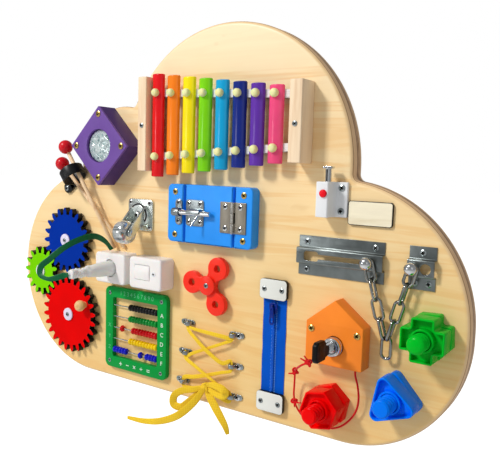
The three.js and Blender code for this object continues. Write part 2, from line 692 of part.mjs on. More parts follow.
// The knuckles of one leaf, every second one, each with the tongue that holds it to the leaf.
function knucklesOf(first, towards) {
  const pitch = hinge.height / hinge.knuckles;
  const bodies = [];
  for (let i = first; i < hinge.knuckles; i += 2) {
    const low = hinge.y + i * pitch + (i > 0 ? play / 2 : 0);
    const high = hinge.y + (i + 1) * pitch - (i < hinge.knuckles - 1 ? play / 2 : 0);
    bodies.push(barAlongY(hinge.knuckle, high - low, hingeX, low, hingeZ, 12));
    const reach = hinge.knuckle / 2 + hinge.endGap;
    bodies.push(box(reach, high - low, hinge.leaf, hingeX + towards * reach / 2, (low + high) / 2, latch.thickness));
  }
  return bodies;
}

function latchScrews(x) {
  return [latch.y + latch.screwInsetY, latch.y + latch.height - latch.screwInsetY].map(
    (y) => screwHead(x, y, latch.thickness));
}

function leafScrews(x) {
  return [-1, 1].map((side) => screwHead(
    x, hinge.y + hinge.height / 2 + side * (hinge.height / 2 - hinge.screwInset),
    latch.thickness + hinge.leaf, true));
}

const leafReach = hinge.knuckle / 2 + hinge.endGap;
const sunk = latch.thickness - play;

// The block that the bolt shoots into, with its keeper.
function makeLeftBlock() {
  const block = softSlab(blockPoints(latch.x, latch.side, -1), latch.thickness, latch.round, 0);
  const strap = strapOver(bolt.keeperX, bolt.keeperWidth);
  const plate = slab(rectanglePoints(
    bolt.keeperX, bolt.y - bolt.keeperHeight / 2, bolt.keeperWidth, bolt.keeperHeight,
    bolt.keeperWidth / 2 - play, 3), bolt.sheet + play, sunk);
  const heads = [-1, 1].map((side) => screwHead(
    bolt.keeperX + bolt.keeperWidth / 2, bolt.y + side * (bolt.keeperHeight / 2 - bolt.screwInset),
    latch.thickness + bolt.sheet, true));
  const body = joined(block, plate, strap.outer, ...heads, ...latchScrews(latch.x + latch.screwInsetX));
  add('latch_block_left', cut(body, strap.bore), colours.sky, 0.4);
}

// The block that the door hangs on, with its leaf of the hinge and the hinge's pin.
function makeRightBlock() {
  const x = latchDoorX + latch.door + latch.gap;
  const block = softSlab(blockPoints(x, latch.side, 1), latch.thickness, latch.round, 0);
  const leaf = slab(leafPoints(hingeX + leafReach, hinge.leafWidth), hinge.leaf + play, sunk);
  const pin = barAlongY(hinge.pin, hinge.height - overrun, hingeX, hinge.y + overrun / 2, hingeZ, 10);
  const screwX = hingeX + leafReach + hinge.leafWidth / 2;
  add('latch_block_right', joined(
    block, leaf, ...knucklesOf(0, 1), pin, ...leafScrews(screwX),
    ...latchScrews(x + latch.side - latch.screwInsetX),
  ), colours.sky, 0.4);
}

function makeDoor() {
  const depth = latch.thickness - latch.doorGap;
  const door = softSlab(blockPoints(latchDoorX, latch.door, 0), depth, latch.round, latch.doorGap);
  const leaf = slab(leafPoints(hingeX - leafReach - hinge.leafWidth, hinge.leafWidth), hinge.leaf + play, sunk);
  const pinBore = barAlongY(
    hinge.pin + 2 * play, hinge.height + 2 * overrun, hingeX, hinge.y - overrun, hingeZ, 10);
  const heads = leafScrews(hingeX - leafReach - hinge.leafWidth / 2);
  add('latch_door', cut(joined(door, leaf, ...knucklesOf(1, -1), ...heads), pinBore), colours.sky, 0.4);
}

// The plate on the door, with the strap that the bolt's rod slides in and a slot for its handle.
function makeBoltGuide() {
  const strap = strapOver(bolt.strapX, bolt.strapLength);
  const plate = slab(rectanglePoints(
    bolt.plateX, bolt.y - bolt.plateHeight / 2, bolt.plateWidth, bolt.plateHeight, bolt.plateCorner),
  bolt.sheet, latch.thickness);
  const slot = box(
    bolt.strapLength + 2 * overrun, bolt.rod, bolt.rod * 2, bolt.strapX + bolt.strapLength / 2,
    bolt.y - bolt.rod / 2 - bolt.rod * bolt.mouthShare, latch.thickness + bolt.sheet + play / 2);
  const heads = [];
  for (const x of [bolt.plateX + bolt.screwInset, bolt.plateX + bolt.plateWidth - bolt.screwInset]) {
    for (const side of [-1, 1]) {
      const y = bolt.y + side * (bolt.plateHeight / 2 - bolt.screwInset);
      heads.push(screwHead(x, y, latch.thickness + bolt.sheet, true));
    }
  }
  const raised = strap.outer.clone();
  const trim = box(
    bolt.strapLength + 2 * overrun, bolt.plateHeight, overrun, bolt.strapX + bolt.strapLength / 2, bolt.y,
    latch.thickness - overrun);
  const guide = cut(joined(plate, raised, ...heads), strap.bore, slot, trim);
  add('bolt_guide', guide, colours.zinc, 0.3, 0.9);
}

// The rod lies drawn back, its end just clear of the keeper, so that the door is free to open.
function makeBoltRod() {
  const start = bolt.keeperX + bolt.keeperWidth + bolt.strapPlay;
  const rod = barAlongX(bolt.rod, bolt.rodLength, start, bolt.y, rodZ, 16);
  const direction = new THREE.Vector3(bolt.handleLean, bolt.handleDrop, bolt.handleOut).normalize();
  const handle = new THREE.CylinderGeometry(bolt.handle / 2, bolt.handle / 2, bolt.handleLength, 10);
  handle.translate(0, bolt.handleLength / 2, 0);
  handle.applyQuaternion(new THREE.Quaternion().setFromUnitVectors(new THREE.Vector3(0, 1, 0), direction));
  handle.translate(start + bolt.throw + bolt.handleReach, bolt.y, rodZ);
  add('bolt_rod', joined(rod, handle), colours.zinc, 0.2, 0.95);
}

// Push-button lock

function makePushLock() {
  const group = place(pushLock.x, pushLock.y);
  const { body, width, depth, flange, shoulder, foot, height } = pushLock;
  const profile = [
    [0, 0], [width, 0], [width, flange], [body + foot, flange], [body, shoulder],
    [body, depth - foot], [body - foot, depth], [foot, depth], [0, depth - foot],
  ].map(([x, z]) => new THREE.Vector2(x, z));
  const solid = slab(profile, height, 0).rotateX(Math.PI / 2).translate(0, height, 0);
  const buttonBore = drum(
    pushLock.button + 2 * play, pushLock.buttonDepth + overrun, pushLock.buttonX, pushLock.buttonY,
    depth - pushLock.buttonDepth, 16);
  const pinBore = barAlongY(
    pushLock.pin + 2 * play, pushLock.shaftDepth + overrun, pushLock.pinX, height - pushLock.shaftDepth,
    pushLock.pinZ, 16);
  const heads = [pushLock.screwInset, height - pushLock.screwInset].map(
    (y) => screwHead(pushLock.screwX, y, flange));
  add('lock_case', joined(cut(solid, buttonBore, pinBore), ...heads), colours.white, 0.4, 0, group);

  const buttonBack = depth - pushLock.buttonDepth + pushLock.travel + pushLock.stop;
  const buttonTop = depth + pushLock.buttonProud;
  const buttonRadius = pushLock.button / 2;
  add('lock_button', turned([
    [0, buttonBack], [buttonRadius, buttonBack], [buttonRadius, buttonTop - foot / 2],
    [buttonRadius * 0.7, buttonTop], [0, buttonTop],
  ], pushLock.buttonX, pushLock.buttonY, 0, 16), colours.red, 0.35, 0, group);

  const pinLow = height - pushLock.pinIn;
  const pinTop = height + pushLock.pinOut;
  const pin = joined(
    barAlongY(pushLock.pin, pinTop - pinLow, pushLock.pinX, pinLow, pushLock.pinZ, 16),
    box(pushLock.head, pushLock.headHeight, pushLock.headDepth, pushLock.pinX,
      pinTop + pushLock.headHeight / 2 - play, pushLock.pinZ - pushLock.headDepth / 2),
  );
  add('lock_plunger', pin, colours.zinc, 0.25, 0.9, group);
}

function makeNameplate() {
  const { x, y, width, height, thickness, corner } = nameplate;
  add('name_plate', slab(rectanglePoints(x, y, width, height, corner, 3), thickness, 0), colours.beech, 0.6);
}

// Door chain

// A sheet bent to a raised channel between two flanges, running along x.
function channel(x, width) {
  const { sheet, flange, rise, height, y } = track;
  const outline = [
    [0, 0], [flange, 0], [flange, rise - sheet], [height - flange, rise - sheet], [height - flange, 0],
    [height, 0], [height, sheet], [height - flange + sheet, sheet], [height - flange + sheet, rise],
    [flange - sheet, rise], [flange - sheet, sheet], [0, sheet],
  ].map(([up, z]) => new THREE.Vector2(up, z));
  const bent = slab(outline, width, 0);
  bent.applyMatrix4(new THREE.Matrix4().makeBasis(
    new THREE.Vector3(0, 1, 0), new THREE.Vector3(0, 0, 1), new THREE.Vector3(1, 0, 0)));
  return bent.translate(x, y, 0);
}

const chainY = track.y + track.height / 2;
const knobX = bracket.x + bracket.knobX;
const sliderX = track.x + track.width - stud.inset;

function studProfile(base) {
  const { neck, neckLength, knob, knobDepth } = stud;
  const top = base + neckLength;
  return [
    [neck / 2, top], [knob * 0.32, top], [knob / 2, top + knobDepth * 0.4],
    [knob * 0.4, top + knobDepth * 0.8], [knob * 0.2, top + knobDepth], [0, top + knobDepth],
  ];
}

function makeTrack() {
  const middle = track.rise - track.sheet - overrun;
  const through = track.sheet + 2 * overrun;
  const keyhole = slab(rectanglePoints(
    track.x + track.keyholeX, chainY - track.keyhole / 2, track.keyholeLength, track.keyhole,
    track.keyhole * 0.3, 3), through, middle);
  const slotStart = track.x + track.keyholeX + track.keyholeLength / 2;
  const slotLength = track.x + track.width - track.slotInset + track.slot / 2 - slotStart;
  const slot = slab(rectanglePoints(
    slotStart, chainY - track.slot / 2, slotLength, track.slot, track.slot * 0.45, 3), through, middle);
  const corners = [];
  for (const x of [track.screwInsetX, track.width - track.screwInsetX]) {
    for (const y of [track.screwInsetY, track.height - track.screwInsetY]) {
      corners.push(screwHead(track.x + x, track.y + y, track.sheet, true));
    }
  }
  add('chain_track', joined(cut(channel(track.x, track.width), keyhole, slot), ...corners), colours.steel, 0.35, 0.8);

  const plate = cut(
    channel(bracket.x, bracket.width),
    drum(bracket.hole, through, bracket.x + bracket.holeX, chainY, middle, 16));
  const base = track.rise;
  const fixedStud = turned([[0, base - play], [stud.neck / 2, base - play], ...studProfile(base)], knobX, chainY, 0, 14);
  const heads = [
    [bracket.width / 2, track.height - track.screwInsetY], [bracket.screwInset, track.screwInsetY],
    [bracket.width - bracket.screwInset, track.screwInsetY],
  ].map(([x, y]) => screwHead(bracket.x + x, track.y + y, track.sheet, true));
  add('chain_bracket', joined(plate, fixedStud, ...heads), colours.steel, 0.35, 0.8);
}

function makeSlider() {
  const footTop = track.rise - track.sheet - play;
  const footBack = footTop - stud.footDepth;
  const profile = [
    [0, footBack], [stud.foot / 2, footBack], [stud.foot / 2, footTop], [stud.neck / 2, footTop],
    ...studProfile(track.rise),
  ];
  add('chain_slider', turned(profile, sliderX, chainY, 0, 14), colours.zinc, 0.15, 1);
}

// An oval link in its own plane, long side along y.
function linkShape() {
  const radius = (link.innerWidth + link.wire) / 2;
  const straight = (link.innerLength - link.innerWidth) / 2;
  const centre = [];
  centre.push(...arcPoints(0, straight, radius, 0, Math.PI, 6));
  centre.push(...arcPoints(0, -straight, radius, Math.PI, fullTurn, 6));
  const sides = 6;
  const position = [];
  const index = [];
  centre.forEach((point, i) => {
    const outward = new THREE.Vector2(point.x, point.y > 0 ? point.y - straight : point.y + straight).normalize();
    for (let k = 0; k < sides; k += 1) {
      const angle = fullTurn * k / sides;
      const off = link.wire / 2 * Math.cos(angle);
      position.push(point.x + outward.x * off, point.y + outward.y * off, link.wire / 2 * Math.sin(angle));
      const next = (i + 1) % centre.length;
      const [a, b] = [i * sides + k, i * sides + (k + 1) % sides];
      const [c, d] = [next * sides + k, next * sides + (k + 1) % sides];
      index.push(a, c, b, b, c, d);
    }
  });
  const geometry = new THREE.BufferGeometry();
  geometry.setAttribute('position', new THREE.Float32BufferAttribute(position, 3));
  geometry.setIndex(index);
  return geometry;
}

// Each strand is a row of touching links hung from its stud; both meet in one link that hangs down.
const linkPitch = link.innerLength + link.lap;
const firstLink = link.innerLength / 2 - stud.neck / 2 - play;
const strandReach = firstLink + linkPitch * (link.count - 1) + (link.innerLength + link.wire) / 2;
const meetOffset = (link.wire + link.meetGap) / 2;
const strandLean = Math.asin(((knobX - sliderX) / 2 - meetOffset) / strandReach);
const chainZ = track.rise + stud.neckLength / 2;

function strandLinks(x, side) {
  const links = [];
  for (let i = 0; i < link.count; i += 1) {
    const shape = linkShape();
    if (i % 2 === 1) shape.rotateY(Math.PI / 2);
    shape.translate(0, -(firstLink + i * linkPitch), 0);
    links.push(shape.rotateZ(side * strandLean).translate(x, chainY, chainZ));
  }
  return links;
}

function makeChain() {
  const left = strandLinks(sliderX, 1);
  const right = strandLinks(knobX, -1);
  const bend = (link.innerWidth + link.wire) / 2;
  const rise = bend - Math.sqrt(bend * bend - (meetOffset + link.meetShift) ** 2);
  const drop = strandReach * Math.cos(strandLean) - link.wire - rise + link.lap
    + (link.innerLength + link.wire) / 2;
  const meetX = (sliderX + knobX) / 2 + link.meetShift;
  left.push(linkShape().translate(meetX, chainY - drop, chainZ));
  add('chain_left', joined(...left), colours.zinc, 0.15, 1);
  add('chain_right', joined(...right), colours.zinc, 0.15, 1);
}

// Zip

function makeZip() {
  const { x, y, plateWidth, plateHeight, plate, corner, tape, length } = zip;
  const bottom = y - length;
  const lows = [y - plateHeight, bottom];
  const plates = lows.map((low) => slab(
    rectanglePoints(x - plateWidth / 2, low, plateWidth, plateHeight, corner), plate + play, tape - play));
  const heads = [];
  for (const low of lows) {
    for (const side of [-1, 1]) {
      heads.push(screwHead(x + side * (plateWidth / 2 - zip.screwInsetX), low + zip.screwInsetY, tape + plate, true));
    }
  }
  const tapeLow = bottom + plateHeight - zip.overlap;
  const tapeLength = length - 2 * (plateHeight - zip.overlap);
  add('zip_tape', joined(
    box(zip.tapeWidth, tapeLength, tape, x, tapeLow + tapeLength / 2, 0),
    box(zip.teeth, length - 2 * plateHeight + overrun, zip.teethProud + tape, x, bottom + length / 2, 0),
    ...plates, ...heads,
  ), colours.royal, 0.7);
  const sliderTop = y - plateHeight - play;
  const sliderY = y - zip.sliderDrop;
  const back = tape + zip.teethProud + play;
  const pullTop = sliderY + zip.sliderLength / 4;
  const sliderBody = slab(rectanglePoints(
    x - zip.slider / 2, sliderY - zip.sliderLength / 2, zip.slider,
    Math.min(zip.sliderLength, sliderTop - sliderY + zip.sliderLength / 2), zip.slider * 0.3), zip.sliderDepth, back);
  const pull = slab(rectanglePoints(
    x - zip.pullWidth / 2, pullTop - zip.pullLength, zip.pullWidth, zip.pullLength, zip.pullWidth * 0.3),
  zip.pull, back + zip.sliderDepth - play);
  add('zip_slider', joined(sliderBody, pull), colours.blue, 0.35, 0.5);
}

// House-shaped block with a key lock

const lockX = house.x + house.lockX;
const lockY = house.y + house.lockY;
const lockFace = house.depth + house.barrelProud;

function makeHouse() {
  const half = house.width / 2;
  const outline = [
    new THREE.Vector2(house.x - half, house.y), new THREE.Vector2(house.x + half, house.y),
    new THREE.Vector2(house.x + half, house.y + house.wall), new THREE.Vector2(house.x, house.y + house.height),
    new THREE.Vector2(house.x - half, house.y + house.wall),
  ];
  const block = softSlab(outline, house.depth, house.round, 0);
  const bore = drum(house.barrel + 2 * play, house.depth, lockX, lockY, house.barrelBack, 24);
  const heads = [-1, 1].map((side) => screwHead(
    house.x + side * (half - house.screwInsetX), house.y + house.screwRise, house.depth));
  add('house_block', joined(cut(block, bore), ...heads), colours.orange, 0.45);
  const barrel = drum(
    house.barrel, lockFace - house.barrelBack, lockX, lockY, house.barrelBack, 24);
  const coreBore = drum(house.core + 2 * play, key.coreDepth + overrun, lockX, lockY, lockFace - key.coreDepth, 16);
  add('lock_barrel', cut(barrel, coreBore), colours.zinc, 0.15, 1);
}

function makeKey() {
  const coreBack = lockFace - key.coreDepth + play;
  const bowBack = lockFace + key.standOff;
  const core = drum(house.core, lockFace - coreBack, lockX, lockY, coreBack, 16);
  const blade = box(key.blade, key.bladeHeight, key.standOff + key.bladeIn * 2, lockX, lockY, lockFace - key.bladeIn);
  const bowLow = key.bowRise - key.bowHeight / 2;
  const outline = rectanglePoints(bowLow, bowBack, key.bowHeight, key.bowDepth, key.bowRound * 2);
  const bow = softSlab(outline, key.bow, key.bowRound, -key.bow / 2);
  bow.applyMatrix4(new THREE.Matrix4().makeBasis(
    new THREE.Vector3(0, 1, 0), new THREE.Vector3(0, 0, 1), new THREE.Vector3(1, 0, 0)));
  add('key', joined(core, blade, bow.translate(lockX, lockY, 0)), colours.black, 0.4);
}

// The red string, from beside the key's grip round the red bolt to the block's underside.
const stringRoute = [
  [186, -124.5, 57], [180.5, -128, 55], [172, -134, 47], [163, -140.5, 35], [155, -147, 23],
  [149.5, -154, 14], [147.2, -161, 10],
  [146, -170, 8], [145.5, -182, 7], [148, -193, 6], [157, -203.5, 5], [170, -208.5, 5], [185, -209, 5],
  [199, -204.5, 5], [211, -194, 6], [219, -181, 7], [221.5, -168, 8], [220, -153, 9], [217.5, -143, 10],
  [217.2, -136.3, 10],
];

function makeString() {
  add('key_string', cord(stringRoute, stringWidth, 36), colours.red, 0.6);
}

// Big toy bolts and nuts

// An outline drawn in by some amount: a hexagon, a cross or a rounded triangle.
function toyOutline(kind, size, inset, turn) {
  if (kind === 'red') return roundedPolygon(regularCorners(6, size - inset / Math.cos(Math.PI / 6), turn), toy.hexagonCorner);
  if (kind === 'blue') {
    const corner = Math.max(toy.triangleCorner - inset, toy.wall);
    const reach = size + toy.triangleCorner - 2 * inset;
    return roundedPolygon(regularCorners(3, reach, turn), corner, 4);
  }
  const [long, short] = [size - inset, toy.crossArm - inset];
  const quarter = [[long, -short], [long, short], [short, short]];
  const corners = [];
  for (let i = 0; i < 4; i += 1) {
    for (const [x, y] of quarter) {
      corners.push(new THREE.Vector2(x, y).rotateAround(new THREE.Vector2(), radians(turn + 90 * i)));
    }
  }
  return roundedPolygon(corners, toy.crossCorner, 1);
}

const toySizes = {
  red: [toy.hexagon, toy.hexagonHead],
  green: [toy.cross, toy.crossHead],
  blue: [toy.triangle, toy.triangleHead],
};

function makeToyBolt(kind, colour) {
  const at = toyPlaces[kind];
  const group = place(at.x, at.y);
  const head = slab(toyOutline(kind, toySizes[kind][1], 0, at.headTurn), toy.headDepth, 0);
  const shaft = turned([
    [0, toy.floor], [toy.shaft / 2, toy.floor], [toy.shaft / 2, toy.shaftEnd - toy.shaftChamfer],
    [toy.shaft / 2 - toy.shaftChamfer, toy.shaftEnd], [0, toy.shaftEnd],
  ], 0, 0, 0, 18);
  add(`toy_bolt_${kind}`, joined(head, shaft), colour, 0.4, 0, group);
}

function makeNut(kind, colour) {
  const at = toyPlaces[kind];
  const group = place(at.x, at.y);
  const back = toy.headDepth + play;
  const shell = slab(toyOutline(kind, toySizes[kind][0], 0, at.nutTurn), toy.nutDepth, back);
  const hollow = slab(toyOutline(kind, toySizes[kind][0], toy.wall, at.nutTurn), toy.nutDepth, back + toy.floor);
  const bore = toy.shaft + 2 * toy.boreGap;
  const collar = drum(bore + 2 * toy.collar, toy.collarHeight, 0, 0, back, 18);
  const hole = drum(bore, toy.nutDepth + 2 * overrun, 0, 0, back - overrun, 18);
  add(`nut_${kind}`, cut(joined(cut(shell, hollow), collar), hole), colour, 0.4, 0, group);
}

// Spinner

// Three round lobes joined by hollow flanks, each flank an arc that touches two lobes.
function spinnerPoints() {
  const { lobe, reach, waist } = spinner;
  const flankReach = (reach * reach - (lobe - waist) ** 2) / (reach + 2 * (lobe - waist));
  const flank = flankReach - waist;
  const points = [];
  for (let i = 0; i < 3; i += 1) {
    const out = radians(spinner.angle) + fullTurn * i / 3;
    const centre = polar(reach, out);
    const after = polar(flankReach, out + Math.PI / 3);
    const before = polar(flankReach, out - Math.PI / 3);
    const from = Math.atan2(before.y - centre.y, before.x - centre.x);
    let to = Math.atan2(after.y - centre.y, after.x - centre.x);
    while (to < from) to += fullTurn;
    points.push(...arcPoints(centre.x, centre.y, lobe, from, to, 12));
    const nextLobe = polar(reach, out + fullTurn / 3);
    const start = Math.atan2(centre.y - after.y, centre.x - after.x);
    let end = Math.atan2(nextLobe.y - after.y, nextLobe.x - after.x);
    while (end > start) end -= fullTurn;
    points.push(...arcPoints(after.x, after.y, flank, start, end, 5).slice(1, -1));
  }
  return points;
}

function makeSpinner() {
  const group = place(spinner.x, spinner.y);
  const holes = [circlePoints(0, 0, spinner.bore / 2, 14)];
  for (let i = 0; i < 3; i += 1) {
    const centre = polar(spinner.reach, radians(spinner.angle) + fullTurn * i / 3);
    holes.push(circlePoints(centre.x, centre.y, spinner.hole / 2, 14));
  }
  add('spinner', slab(spinnerPoints(), spinner.thickness, spinner.standOff, holes), colours.red, 0.4, 0, group);
  const front = spinner.standOff + spinner.thickness + play;
  const back = spinner.standOff - play;
  const top = front + spinner.capHeight;
  const hub = turned([
    [0, 0], [spinner.cap / 3, 0], [spinner.cap / 3, back], [spinner.shaft / 2, back], [spinner.shaft / 2, front],
    [spinner.cap / 2, front], [spinner.cap / 2, front + spinner.capHeight * 0.7],
    [spinner.cap / 2 - spinner.capHeight * 0.3, top], [0, top],
  ], 0, 0, 0, 20);
  add('spinner_hub', joined(hub, screwHead(0, 0, top, true)), colours.red, 0.4, 0, group);
}

// Abacus

const openLeft = abacus.x + abacus.openX;
const openRight = openLeft + abacus.openWidth;

const beadStep = abacus.beadLength - abacus.beadLap;

// A row of beads pushed together, as one body.
function beadRow(row, count, start) {
  const y = abacus.y + abacus.openY + abacus.openHeight - abacus.wireTop - row * abacus.wirePitch;
  const beads = [];
  for (let i = 0; i < count; i += 1) {
    const [bore, rim, crown, half] = [abacus.beadBore / 2, abacus.beadRim / 2, abacus.bead / 2, abacus.beadLength / 2];
    const profile = [[bore, -half], [rim, -half], [crown, 0], [rim, half], [bore, half], [bore, -half]];
    const bead = new THREE.LatheGeometry(profile.map(([radius, x]) => new THREE.Vector2(radius, x)), 7);
    const x = start + abacus.beadLength / 2 + i * beadStep;
    beads.push(bead.rotateZ(Math.PI / 2).translate(x, y, abacus.wireZ));
  }
  return joined(...beads);
}

function makeAbacus() {
  const { x, y, width, height, thickness, corner } = abacus;
  const frame = slab(
    rectanglePoints(x, y, width, height, corner, 3), thickness, 0,
    [rectanglePoints(openLeft, y + abacus.openY, abacus.openWidth, abacus.openHeight, 0)]);
  const parts = [frame];
  for (let row = 0; row < abacus.wires; row += 1) {
    const wireY = y + abacus.openY + abacus.openHeight - abacus.wireTop - row * abacus.wirePitch;
    const start = openLeft - overrun;
    parts.push(barAlongX(abacus.wire, abacus.openWidth + 2 * overrun, start, wireY, abacus.wireZ, 8));
  }
  for (const sx of [abacus.screwInset, width - abacus.screwInset]) {
    for (const sy of [abacus.screwInset, height - abacus.screwInset]) {
      parts.push(screwHead(x + sx, y + sy, thickness, true));
    }
  }
  add('abacus_frame', joined(...parts), colours.green, 0.4);

  const fromRight = (count) => openRight - 2 * play - count * beadStep;
  const fromLeft = openLeft + 2 * play;
  add('beads_black', beadRow(0, 10, fromRight(10)), colours.black, 0.3);
  add('beads_green', beadRow(1, 10, fromRight(10)), colours.green, 0.3);
  add('bead_red', beadRow(2, 1, fromLeft + 2.6 * beadStep), colours.red, 0.3);
  add('beads_red', beadRow(2, 9, fromRight(9)), colours.red, 0.3);
  add('beads_yellow', beadRow(3, 10, fromRight(10)), colours.yellow, 0.3);
  add('beads_blue', beadRow(4, 5, fromLeft), colours.blue, 0.3);
  add('bead_blue', beadRow(4, 1, fromRight(6.4)), colours.blue, 0.3);
  add('beads_blue_right', beadRow(4, 4, fromRight(4)), colours.blue, 0.3);
}

// Xylophone

const barX = (i) => xylophone.firstBarX + i * xylophone.pitch;
const between = (from, to, x) => from + (to - from) * (x - barX(0)) / (barX(xylophone.bars - 1) - barX(0));

function makeXylophone() {
  const { post, depth, round } = xylophone;
  const left = softSlab(
    rectanglePoints(xylophone.leftX, xylophone.leftY, post, xylophone.leftHeight, 0), depth, round, 0);
  const right = softSlab(
    rectanglePoints(xylophone.rightX, xylophone.rightY, post, xylophone.rightHeight, 0), depth, round, 0);
  const startX = xylophone.leftX + post - overrun;
  const endX = xylophone.rightX + overrun;
  const rail = (atLeft, atRight) => {
    const [a, b] = [between(atLeft, atRight, startX), between(atLeft, atRight, endX)];
    const half = xylophone.rail / 2;
    const outline = [
      new THREE.Vector2(startX, a - half), new THREE.Vector2(endX, b - half),
      new THREE.Vector2(endX, b + half), new THREE.Vector2(startX, a + half),
    ];
    return slab(outline, xylophone.railFront - xylophone.railBack, xylophone.railBack);
  };
  const parts = [
    left, right,
    rail(xylophone.upperLeft, xylophone.upperRight), rail(xylophone.lowerLeft, xylophone.lowerRight),
    screwHead(xylophone.leftX + post / 2, xylophone.middleY, depth, true),
    screwHead(xylophone.rightX + post / 2, xylophone.middleY, depth, true),
  ];
  const radius = xylophone.pin / 2;
  for (let i = 0; i < xylophone.bars; i += 1) {
    const x = barX(i);
    const long = xylophone.longest - (xylophone.longest - xylophone.shortest) * i / (xylophone.bars - 1);
    const outline = rectanglePoints(
      x - xylophone.barWidth / 2, xylophone.middleY - long / 2, xylophone.barWidth, long, xylophone.barRound, 1);
    parts.push(softSlab(outline, xylophone.bar + play, xylophone.barRound / 2, xylophone.railFront - play));
    for (const [atLeft, atRight] of [
      [xylophone.upperLeft, xylophone.upperRight], [xylophone.lowerLeft, xylophone.lowerRight]]) {
      parts.push(turned([
        [0, -overrun], [radius, -overrun], [radius, 0], [radius * 0.75, xylophone.pinHeight * 0.7],
        [0, xylophone.pinHeight],
      ], x, between(atLeft, atRight, x), xylophone.railFront + xylophone.bar, 8));
    }
  }
  add('xylophone', joined(...parts), colours.beech, 0.5);
}

// Mallets and their clip

function makeMallet(name, ballAt, endAt) {
  const ball = new THREE.Vector3(...ballAt);
  const end = new THREE.Vector3(...endAt);
  const direction = end.clone().sub(ball);
  const length = direction.length();
  direction.normalize();
  const head = new THREE.SphereGeometry(mallet.ball / 2, 12, 9);
  const stick = new THREE.CylinderGeometry(mallet.stick / 2, mallet.stick / 2, length, 10);
  stick.translate(0, length / 2, 0);
  const shape = joined(head, stick);
  shape.applyQuaternion(new THREE.Quaternion().setFromUnitVectors(new THREE.Vector3(0, 1, 0), direction));
  add(name, shape.translate(ball.x, ball.y, ball.z), colours.red, 0.35);
}

// A loop on a flat tab, like a cable clip: what it holds runs along y, the tab along x.
function clipBody({ inner, wall, width, tab, tabThickness, sink }, towards) {
  const outer = inner + 2 * wall;
  const ring = barAlongY(outer, width, 0, -width / 2, outer / 2 + sink, 14);
  return joined(ring, box(tab, width, tabThickness, towards * tab / 2, 0, sink));
}

function makeClip() {
  const group = place(clip.x, clip.y, clip.turn);
  const head = screwHead(-clip.screwReach, 0, clip.sink + clip.tabThickness);
  const centreZ = clip.inner / 2 + clip.wall + clip.sink;
  const hole = barAlongY(clip.inner, clip.width + 2 * overrun, 0, -clip.width / 2 - overrun, centreZ, 18);
  add('mallet_clip', joined(cut(clipBody(clip, -1), hole), head), colours.black, 0.5, 0, group);
}

// Lacing

const eyeletX = (side, row) => (side < 0 ? lacing.leftX + row * lacing.leftStep : lacing.rightX);
const eyeletY = (side, row) => (side < 0 ? lacing.leftY : lacing.rightY) - row * lacing.pitch;

// The six metal eyelets, each closed on the lace that fills it.
function eyelets() {
  const bodies = [];
  for (let row = 0; row < lacing.rows; row += 1) {
    for (const side of [-1, 1]) {
      const [x, y] = [eyeletX(side, row), eyeletY(side, row)];
      bodies.push(clipBody(eyelet, side).translate(x, y, 0));
      bodies.push(screwHead(x + side * eyelet.screwReach, y, eyelet.sink + eyelet.tabThickness, true));
    }
  }
  return bodies;
}

// The lace's runs from eyelet to eyelet and to the knot, each turning back inside its eyelets.
const laceRuns = [
  [[-6, -125.5, 4.8], [-4.5, -130, 6], [4, -131, 8], [28, -132, 9], [50, -133, 8.5], [58, -134, 6.5], [60, -129, 4.8]],
  [[60, -129, 4.8], [59.5, -135.5, 5.8], [50, -140.5, 7], [25, -152, 7], [0, -163.5, 6.5], [-7, -168, 5.8],
    [-9.2, -162.5, 4.8]],
  [[-9.2, -162.5, 4.8], [-8.5, -169.5, 6], [10, -176, 10], [30, -184.5, 11], [50, -193, 11], [59, -198, 7],
    [60, -205, 4.8]],
  [[-6, -125.5, 4.8], [-5.5, -132.5, 6.5], [10, -142.5, 10], [30, -155, 11], [50, -164.5, 9], [59, -161, 6],
    [60, -168, 4.8]],
  [[60, -166, 4.8], [59.5, -172.5, 5.8], [48, -176.5, 7], [27, -184, 7.5], [5, -191, 7], [-10, -195, 6],
    [-12.4, -201.5, 4.8]],
  [[-12.4, -199.5, 4.8], [-11, -205.5, 6], [4, -204.5, 7.5], [17, -200.5, 9], [26, -198, 9]],
  [[60, -203, 4.8], [58, -209.5, 6], [48, -208, 7], [36, -202, 8], [28, -198.5, 9]],
];

const leftBow = [
  [25, -198.5, 11], [20, -200.5, 12.5], [10.6, -203.5, 15], [-4, -207.5, 18], [-14, -216, 20], [-14, -226, 20],
  [-5, -228, 18], [5.8, -219, 15], [15, -209.5, 12], [21, -203.5, 10.5], [25, -199.5, 10],
];
const rightBow = [
  [27.5, -197, 11.5], [33, -193.5, 13], [42.8, -191.5, 15], [55, -193.5, 15], [58, -198, 14], [54, -202, 13], [43, -202, 12],
  [34, -199.5, 11.5], [28, -198, 11],
];
const leftTail = [
  [26, -199, 12], [23.5, -205, 16], [20, -213, 21], [10, -225, 26], [-3, -236, 29], [-27, -247.6, 30], [-53.5, -254.4, 30],
  [-82, -257, 30],
];
const rightTail = [
  [27.5, -199, 10], [30.5, -204.5, 10.5], [36, -210, 12], [43.5, -218, 13], [51.5, -228, 13], [58, -238, 12], [60.6, -248, 10],
];

function makeLace() {
  const { width, knot, knotX, knotY, knotZ } = lacing;
  const knotBody = new THREE.SphereGeometry(knot / 2, 10, 8).translate(knotX, knotY, knotZ + 1.5);
  const pieces = [
    ...eyelets(), ...laceRuns.map((run) => cord(run, width, run.length + 2)), cord(leftBow, width, 13), cord(rightBow, width, 11),
    cord(leftTail, width, 16), cord(rightTail, width, 8),
  ].map(toSolid).reduce((body, piece) => body.add(piece), toSolid(knotBody));
  add('lace', toGeometry(pieces), colours.yellow, 0.6);
}

